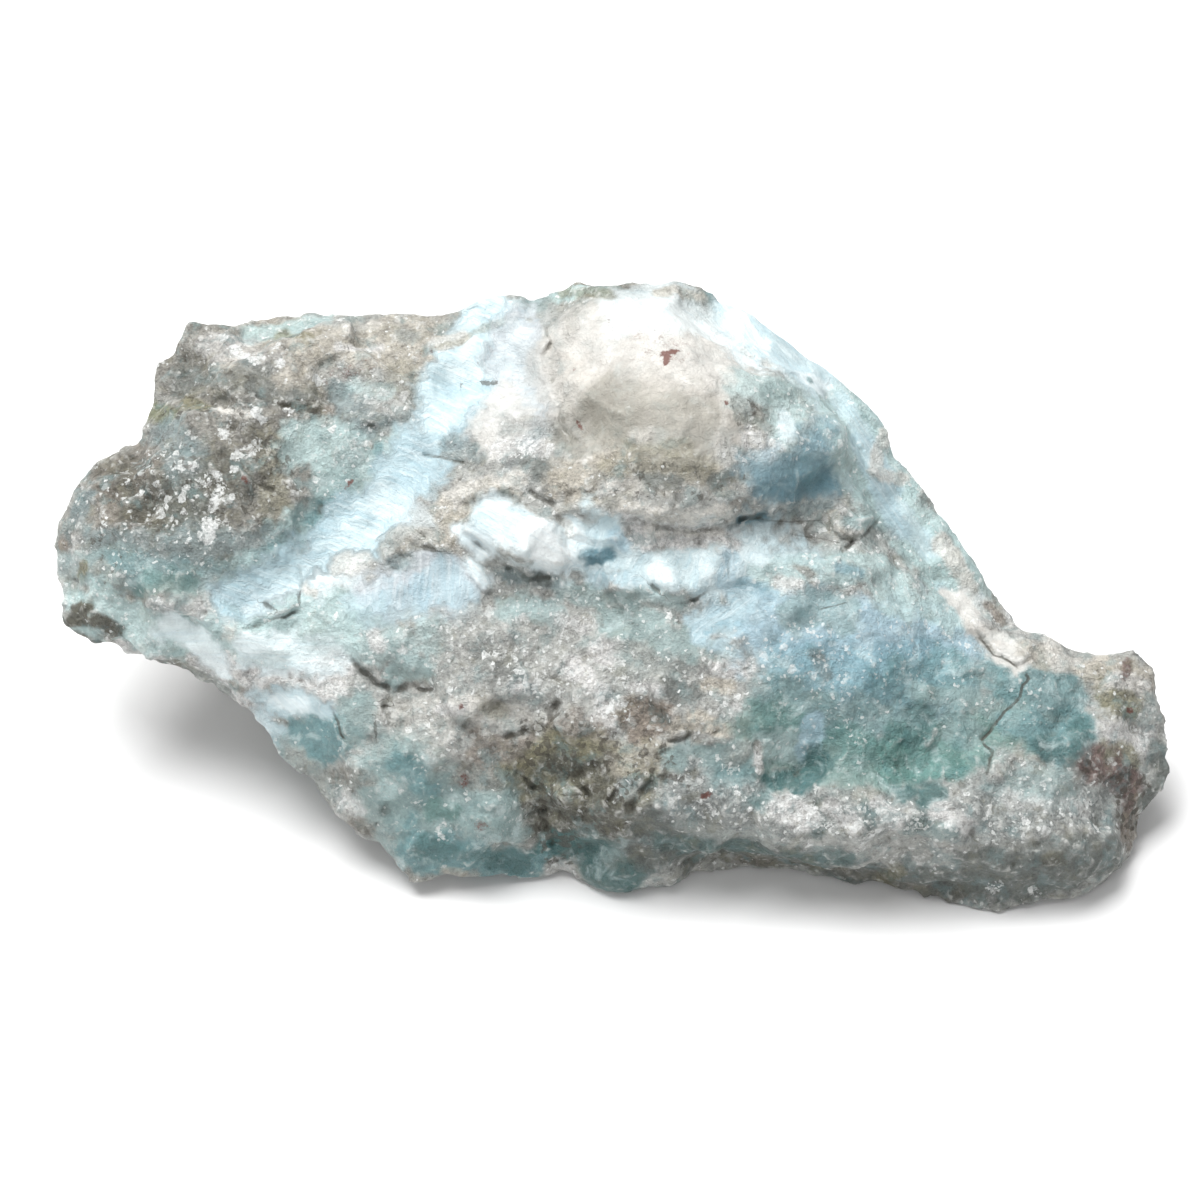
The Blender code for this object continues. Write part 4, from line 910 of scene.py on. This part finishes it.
def carve(mesh):
    """Adds everything finer than the solid: facets, grains, fibres, cracks, steps and plates."""
    paint = painted(mesh)
    points, normals, front = paint.points, face_normals(mesh), facing(mesh)
    granular, silky, glassy = paint.texture.T
    brittle = np.maximum(granular, 0.6 * glassy)
    broken = 1 - 0.8 * silky
    height = FACET_DEPTH * (0.35 + 0.65 * granular) * facets(points, *COARSE_FACETS) * broken
    height += FACET_DEPTH * (0.3 + 0.7 * brittle) * facets(points, *FINE_FACETS) * broken
    lumps = 0.10 * waves(points, 1.3, (5.0, 2.0, 1.0)) + 0.07 * waves(points, 0.6, (7.0, 7.0, 2.0))
    height += granular * lumps
    height += silky * 0.03 * waves(paint.fibre * np.reciprocal(FIBRE_SIZE), 1.0, (1.0, 3.0, 2.0))
    height += 0.15 * waves(points, 4.0, (6.0, 2.0, 8.0))
    move(mesh, normals * height[:, None])
    depth = stroke_relief(face_points(mesh), front)
    move(mesh, np.stack((np.zeros(len(depth)), np.zeros(len(depth)), depth), axis=1))


def thinned(mesh):
    """Fewer triangles, most of them kept where the camera looks."""
    hidden = smooth(0.1, -0.3, face_normals(mesh)[:, 2])
    triangles = sum(len(p.vertices) - 2 for p in mesh.polygons)
    return evaluated(mesh, "DECIMATE", hidden, ratio=min(1.0, TRIANGLES / triangles),
                     use_collapse_triangulate=True, vertex_group="weights", vertex_group_factor=1.0)


def one_body(mesh):
    """Only the largest connected part, without crumbs that came loose."""
    work = bmesh.new()
    work.from_mesh(mesh)
    unseen = set(work.verts)
    bodies = []
    while unseen:
        body, edge = set(), [unseen.pop()]
        while edge:
            point = edge.pop()
            body.add(point)
            fresh = [link.other_vert(point) for link in point.link_edges]
            fresh = [other for other in fresh if other in unseen]
            unseen.difference_update(fresh)
            edge.extend(fresh)
        bodies.append(body)
    bodies.sort(key=len)
    for body in bodies[:-1]:
        bmesh.ops.delete(work, geom=list(body), context="VERTS")
    work.to_mesh(mesh)
    work.free()


def smooth_folds(mesh):
    """Evens out the places where a thin lip is folded over itself."""
    work = bmesh.new()
    work.from_mesh(mesh)
    work.normal_update()
    folds = set()
    for point in work.verts:
        if any(face.normal.dot(point.normal) < FOLD for face in point.link_faces):
            folds.add(point)
    for _ in range(2):
        folds |= {edge.other_vert(point) for point in folds for edge in point.link_edges}
    for _ in range(8):
        bmesh.ops.smooth_vert(work, verts=list(folds), factor=0.5,
                              use_axis_x=True, use_axis_y=True, use_axis_z=True)
    work.to_mesh(mesh)
    work.free()


def rest_on_floor(mesh):
    """Keeps the fine relief off the floor, and the flat spot flat."""
    points = points_of(mesh)
    points[:, 2] = np.maximum(points[:, 2], cad_low.z)
    mesh.vertices.foreach_set("co", points.astype(np.float32).ravel())
    mesh.update()


def hollowness(mesh):
    """Above 0 in hollows and below 0 on ridges, at a fine and a broad scale."""
    points = face_points(mesh)
    normals = face_normals(mesh)
    result = []
    for passes in HOLLOW_PASSES:
        rounded = face_points(evaluated(mesh, "SMOOTH", factor=0.5, iterations=passes))
        result.append(((rounded - points) * normals).sum(axis=1))
    return result


def store(mesh, name, values):
    """Keeps a number, a direction or a colour for each point, for the material to read."""
    values = np.asarray(values, np.float32)
    if values.ndim == 1:
        mesh.attributes.new(name, "FLOAT", "POINT").data.foreach_set("value", values)
    elif name == "fibre":
        mesh.attributes.new(name, "FLOAT_VECTOR", "POINT").data.foreach_set("vector", values.ravel())
    else:
        colours = np.concatenate((values, np.ones((len(values), 1), np.float32)), axis=1)
        mesh.attributes.new(name, "FLOAT_COLOR", "POINT").data.foreach_set("color", colours.ravel())


def stone_piece():
    mesh = fine_copy()
    carve(mesh)
    mesh = thinned(mesh)
    one_body(mesh)
    smooth_folds(mesh)
    rest_on_floor(mesh)
    paint = painted(mesh)
    # dark holds the painted shade of the cracks.
    signed, dark = crack_lines(paint.points, facing(mesh))
    fine, broad = hollowness(mesh)
    stored = {"tint": paint.tint, "texture": paint.texture, "fibre": paint.fibre, **paint.spots,
              "crack": signed, "crack_shade": dark, "fine_hollow": fine, "broad_hollow": broad}
    for name, values in stored.items():
        store(mesh, name, values)
    mesh.shade_smooth()
    piece = bpy.data.objects.new("larimar", mesh)
    bpy.context.scene.collection.objects.link(piece)
    return piece


# The stone's material

COOL_GRAIN = (118, 148, 150)
WARM_GRAIN = (136, 132, 110)
PALE_SEAM = (220, 220, 214)
MILK = (206, 222, 222)
TEAL_DEPTH = (70, 118, 122)
FIBRE_WHITE = (244, 250, 250)
FIBRE_SHADE = (150, 190, 206)
FIBRE_CLOUD = (166, 196, 206)
BRUISE = (226, 226, 222)
# Grime and painted shade for the hollows
GRIME_AND_SHADE = (78, 76, 62)
# White grains, and painted glints on crystal faces
WHITE_GRAIN_AND_GLINT = (226, 228, 226)
DARK_FLECK = (72, 68, 58)
RUST = (98, 46, 32)
CRACK_SHADE = (62, 60, 50)


class Number:
    """A number that the material works out at each point, with ordinary arithmetic."""

    def __init__(self, graph, socket):
        self.graph = graph
        self.socket = socket

    def __add__(self, other):
        return self.graph.math("ADD", self, other)

    def __sub__(self, other):
        return self.graph.math("SUBTRACT", self, other)

    def __rsub__(self, other):
        return self.graph.math("SUBTRACT", other, self)

    def __mul__(self, other):
        return self.graph.math("MULTIPLY", self, other)


class Graph:
    """Adds shader nodes and links them. Sizes are in millimetres."""

    def __init__(self, material):
        material.use_nodes = True
        self.tree = material.node_tree

    def add(self, kind, inputs, **settings):
        node = self.tree.nodes.new(kind)
        for key, value in settings.items():
            setattr(node, key, value)
        for key, value in inputs.items():
            if isinstance(value, Number):
                value = value.socket
            if isinstance(value, bpy.types.NodeSocket):
                self.tree.links.new(value, node.inputs[key])
            else:
                node.inputs[key].default_value = value
        return node

    def math(self, operation, a, b=0.0, clamp=False):
        node = self.add("ShaderNodeMath", {0: a, 1: b}, operation=operation, use_clamp=clamp)
        return Number(self, node.outputs[0])

    def vector(self, operation, *inputs, output=0):
        return self.add("ShaderNodeVectorMath", dict(enumerate(inputs)), operation=operation).outputs[output]

    def mix(self, share, a, b, blend="MIX"):
        node = self.add("ShaderNodeMix", {0: share, 6: a, 7: b}, data_type="RGBA", blend_type=blend)
        return node.outputs[2]

    def tinted(self, colour, share, tint):
        """The colour with a share of an sRGB 0-255 colour mixed in."""
        return self.mix(share, colour, (*linear(tint), 1.0))

    def ramp(self, value, low, high, to_low=0.0, to_high=1.0):
        """To_low up to low, to_high from high on, and an even S between them."""
        inputs = {0: value, 1: low, 2: high, 3: to_low, 4: to_high}
        node = self.add("ShaderNodeMapRange", inputs, interpolation_type="SMOOTHSTEP")
        return Number(self, node.outputs[0])

    def stored(self, name, output="Fac"):
        """What store() kept under this name."""
        return self.add("ShaderNodeAttribute", {}, attribute_name=name).outputs[output]

    def number(self, name):
        return Number(self, self.stored(name))

    def parts(self, colour):
        return [Number(self, part) for part in self.add("ShaderNodeSeparateColor", {0: colour}).outputs[:3]]

    def noise(self, place, size, detail, roughness, distortion=0.0):
        inputs = {"Vector": place, "Scale": 1 / size, "Detail": detail, "Roughness": roughness,
                  "Distortion": distortion}
        return Number(self, self.add("ShaderNodeTexNoise", inputs).outputs["Fac"])

    def cells(self, place, size):
        """Three random numbers for each cell."""
        node = self.add("ShaderNodeTexVoronoi", {"Vector": place, "Scale": 1 / size})
        return self.parts(node.outputs["Color"])

    def edges(self, place, size):
        """Distance to the nearest side of a cell, in cell sizes."""
        inputs = {"Vector": place, "Scale": 1 / size}
        node = self.add("ShaderNodeTexVoronoi", inputs, feature="DISTANCE_TO_EDGE")
        return Number(self, node.outputs["Distance"])

    def facets(self, place, size):
        """Height of flat facets of the given size, each leaning its own way."""
        cell = self.add("ShaderNodeTexVoronoi", {"Vector": place, "Scale": 1 / size})
        lean = self.vector("SUBTRACT", cell.outputs["Color"], tuple(HALF))
        gap = self.vector("SUBTRACT", place, cell.outputs["Position"])
        return Number(self, self.vector("DOT_PRODUCT", lean, gap, output="Value"))


class Finish(Graph):
    """The stone's colour, bump and roughness. Each step takes the colour so far and gives the next one."""

    def __init__(self, material):
        super().__init__(material)
        place = self.add("ShaderNodeTexCoord", {}).outputs["Object"]
        self.place = self.vector("MULTIPLY", place, (1 / MM, 1 / MM, 1 / MM))
        self.granular, self.silky, self.glassy = self.parts(self.stored("texture", "Color"))
        self.rough = self.math("MAXIMUM", self.granular, self.glassy * 0.55)
        self.middle = self.noise(self.place, size=1.5, detail=5.0, roughness=0.65)
        self.fine = self.noise(self.place, size=0.42, detail=4.0, roughness=0.7)
        self.grit = self.noise(self.place, size=0.24, detail=2.0, roughness=0.7)
        self.clumps = self.noise(self.place, size=1.1, detail=4.0, roughness=0.65)
        fibre = self.stored("fibre", "Vector")
        self.streaks = self.noise(self.vector("MULTIPLY", fibre, (2.6, 0.2, 0.4)), 1.0, 4.0, 0.6)
        self.bands = self.noise(self.vector("MULTIPLY", fibre, (0.5, 0.12, 0.2)), 1.0, 3.0, 0.6)

        # The places that the cells are read at are shaken, so that no cell has a straight side.
        self.shake = self.add("ShaderNodeTexNoise", {"Vector": self.place, "Scale": 2.2, "Detail": 3.0})
        self.stirred = self.shaken(0.3)
        self.grain = self.cells(self.stirred, size=0.7)
        self.speck = self.cells(self.stirred, size=0.32)

    def shaken(self, reach):
        return self.vector("MULTIPLY_ADD", self.shake.outputs["Color"], (reach, reach, reach), self.place)

    def mottled(self, colour):
        """Broad light and dark mottling, then grains where the stone is rough."""
        broad = self.noise(self.place, size=5.0, detail=4.0, roughness=0.6)
        swing = (broad - 0.5) * 0.6 + (self.middle - 0.5) * (self.rough * 0.8 + 0.4)
        grains = (self.grain[0] - 0.5) * 0.26 + (self.speck[0] - 0.5) * 0.26
        grains = grains + (self.fine - 0.5) + (self.grit - 0.5) * 0.9
        gain = swing + grains * self.rough + 1.0
        grey = self.add("ShaderNodeCombineColor", {0: gain, 1: gain, 2: gain}).outputs[0]
        return self.mix(1.0, colour, grey, "MULTIPLY")

    def hued(self, colour):
        """Some grains are bluer and some are warmer."""
        wander = self.noise(self.place, size=2.4, detail=5.0, roughness=0.65)
        cool = self.ramp(wander, 0.5, 0.66) * self.rough
        warm = self.ramp(wander, 0.46, 0.34) * self.granular
        colour = self.tinted(colour, cool * 0.45, COOL_GRAIN)
        return self.tinted(colour, warm * 0.35, WARM_GRAIN)

    def seamed(self, colour):
        """Thin pale seams, broken up, where grains meet."""
        edges = self.edges(self.shaken(0.9), size=2.3)
        seam = self.ramp(edges, 0.07, 0.0) * self.ramp(self.middle, 0.45, 0.62) * self.rough
        return self.tinted(colour, seam * 0.22, PALE_SEAM)

    def milky(self, colour):
        """Milky wisps and darker depths in the glassy parts."""
        wisps = self.noise(self.place, size=2.6, detail=5.0, roughness=0.6, distortion=0.5)
        colour = self.tinted(colour, self.ramp(wisps, 0.52, 0.72) * self.glassy * 0.6, MILK)
        return self.tinted(colour, self.ramp(wisps, 0.46, 0.28) * self.glassy * 0.5, TEAL_DEPTH)

    def fibrous(self, colour):
        """Bright and shaded fibres in the silky parts, and soft bands along them."""
        colour = self.tinted(colour, self.ramp(self.streaks, 0.46, 0.7) * self.silky * 0.34, FIBRE_WHITE)
        colour = self.tinted(colour, self.ramp(self.streaks, 0.5, 0.28) * self.silky * 0.26, FIBRE_SHADE)
        return self.tinted(colour, self.ramp(self.bands, 0.5, 0.3) * self.silky * 0.3, FIBRE_CLOUD)

    def worn_and_shaded(self, colour):
        """Ridges are bruised white, and hollows are darkened with grime and painted shade."""
        fine_hollow, broad_hollow = self.number("fine_hollow"), self.number("broad_hollow")
        bruise = self.ramp(fine_hollow, -0.01, -0.07) * self.ramp(self.middle, 0.35, 0.6, 0.2, 1.0)
        colour = self.tinted(colour, bruise * 0.5, BRUISE)
        # Darkening in the fine and broad hollows: partly grime, partly painted shade where less light
        # reaches.
        grime_and_shade = self.ramp(fine_hollow, 0.015, 0.09) + self.ramp(broad_hollow, 0.08, 0.45)
        grime_and_shade = self.math("MULTIPLY", grime_and_shade, self.ramp(self.middle, 0.3, 0.6, 0.4, 1.0), clamp=True)
        return self.tinted(colour, grime_and_shade * (1.0 - self.silky * 0.85) * 0.42, GRIME_AND_SHADE)

    def flecked(self, colour):
        """White flecks of three sizes, partly white grains and partly painted glints, and dark ones, each
        thicker where its own spots are.
        """
        density = self.number("frost") * self.ramp(self.clumps, 0.35, 0.65, 0.25, 1.9)
        flake = self.cells(self.stirred, size=1.1)
        for chance, tone, share in ((flake[0], flake[1], 0.16), (self.grain[2], self.grain[0], 0.2),
                                    (self.speck[1], self.speck[0], 0.4)):
            white = self.ramp(chance - (1.0 - density * share), 0.0, 0.06)
            white = white * self.ramp(tone, 0.0, 1.0, 0.3, 1.0)
            white = white * self.ramp(self.grit, 0.25, 0.6, 0.5, 1.0)
            white = white * self.ramp(self.glassy, 0.0, 1.0, 1.0, 0.6)
            colour = self.tinted(colour, white, WHITE_GRAIN_AND_GLINT)
        grime = self.number("grime")
        patches = self.noise(self.place, size=0.8, detail=3.0, roughness=0.6)
        dark = self.ramp(self.grain[1] * 0.45 + patches * 0.9 + grime * 0.55, 0.98, 1.14)
        return self.tinted(colour, dark * self.ramp(grime, 0.02, 0.2) * 0.7, DARK_FLECK)

    def stained(self, colour):
        """Rust in its own spots, clumped and gritty."""
        rust = self.number("rust")
        level = self.clumps * 0.9 + rust * 0.6 + (self.grit - 0.5) * 0.7
        return self.tinted(colour, self.ramp(level, 0.62, 1.0) * self.ramp(rust, 0.02, 0.3) * 0.88, RUST)

    def cracked(self, colour):
        """Cracks get thin lines of painted shade, with an uneven width."""
        gap = self.math("ABSOLUTE", self.number("crack")) + (self.fine - 0.5) * 1.2
        crack = self.ramp(gap, 0.95, 0.35) * self.number("crack_shade")
        crack = crack * self.ramp(self.middle, 0.32, 0.52, 0.25, 1.0)
        return self.tinted(colour, crack * 0.8, CRACK_SHADE)

    def bump(self):
        """Grains and small facets where the stone is rough, and streaks where it is silky."""
        height = self.grain[0] * 0.25 + self.fine + self.speck[0] * 0.2
        height = height + self.facets(self.stirred, size=1.3) + self.facets(self.stirred, size=0.6)
        height = height + self.grit * 0.5
        height = height * (self.rough * 0.8 + 0.2) + self.streaks * self.silky * 0.4
        inputs = {"Strength": 1.0, "Distance": BUMP_DEPTH, "Height": height}
        return self.add("ShaderNodeBump", inputs).outputs[0]

    def roughness(self):
        """Matt, with a faint sheen where the stone is glassy or silky."""
        return (0.72 - self.glassy * 0.22 - self.silky * 0.2 + (self.fine - 0.5) * 0.3).socket


def stone_finish():
    material = bpy.data.materials.new("larimar_finish")
    finish = Finish(material)
    colour = finish.stored("tint", "Color")
    for step in (finish.mottled, finish.hued, finish.seamed, finish.milky, finish.fibrous, finish.worn_and_shaded,
                 finish.flecked, finish.stained, finish.cracked):
        colour = step(colour)
    shader = finish.tree.nodes["Principled BSDF"]
    finish.tree.links.new(colour, shader.inputs["Base Color"])
    finish.tree.links.new(finish.roughness(), shader.inputs["Roughness"])
    finish.tree.links.new(finish.bump(), shader.inputs["Normal"])
    shader.inputs["IOR"].default_value = STONE_IOR
    return material


# The floor, the lights and the camera

def floor_piece():
    mesh = bpy.data.meshes.new("floor")
    corners = [(x * FLOOR_HALF, y * FLOOR_HALF, cad_low.z) for x, y in ((-1, -1), (1, -1), (1, 1), (-1, 1))]
    mesh.from_pydata(corners, [], [(0, 1, 2, 3)])
    floor = bpy.data.objects.new("floor", mesh)
    bpy.context.scene.collection.objects.link(floor)
    material = bpy.data.materials.new("pale_floor")
    material.use_nodes = True
    shader = material.node_tree.nodes["Principled BSDF"]
    shader.inputs["Base Color"].default_value = (FLOOR_GREY, FLOOR_GREY, FLOOR_GREY, 1.0)
    shader.inputs["Roughness"].default_value = 0.9
    shader.inputs["Specular IOR Level"].default_value = 0.1
    mesh.materials.append(material)
    return floor


def light_the_scene():
    """An even white room, and square lights turned towards the face's point."""
    world = bpy.data.worlds.new("pale_room")
    bpy.context.scene.world = world
    world.use_nodes = True
    world.node_tree.nodes["Background"].inputs["Color"].default_value = (1.0, 1.0, 1.0, 1.0)
    world.node_tree.nodes["Background"].inputs["Strength"].default_value = ROOM_LIGHT
    for name, (place, size, power) in LIGHTS.items():
        data = bpy.data.lights.new(name, "AREA")
        data.size = size
        data.energy = power
        light = bpy.data.objects.new(name, data)
        light.location = FACE_POINT + Vector(place)
        light.rotation_euler = (-Vector(place)).to_track_quat("-Z", "Y").to_euler()
        bpy.context.scene.collection.objects.link(light)
    bpy.context.scene.view_settings.view_transform = "Standard"


def place_camera():
    data = bpy.data.cameras.new("camera")
    data.sensor_width = SENSOR
    data.lens = SENSOR * VIEW_DISTANCE / VIEW_WIDTH
    data.clip_start = 0.01
    data.clip_end = 20.0
    camera = bpy.data.objects.new("camera", data)
    toward = Vector(OUT)
    camera.location = FACE_POINT + toward * VIEW_DISTANCE * MM
    camera.rotation_euler = (-toward).to_track_quat("-Z", "Y").to_euler()
    bpy.context.scene.collection.objects.link(camera)
    bpy.context.scene.camera = camera


place_camera()
light_the_scene()
stone = stone_piece()
stone.data.materials.clear()
stone.data.materials.append(stone_finish())
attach(stone, "root")
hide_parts("larimar_stone")
floor_piece()
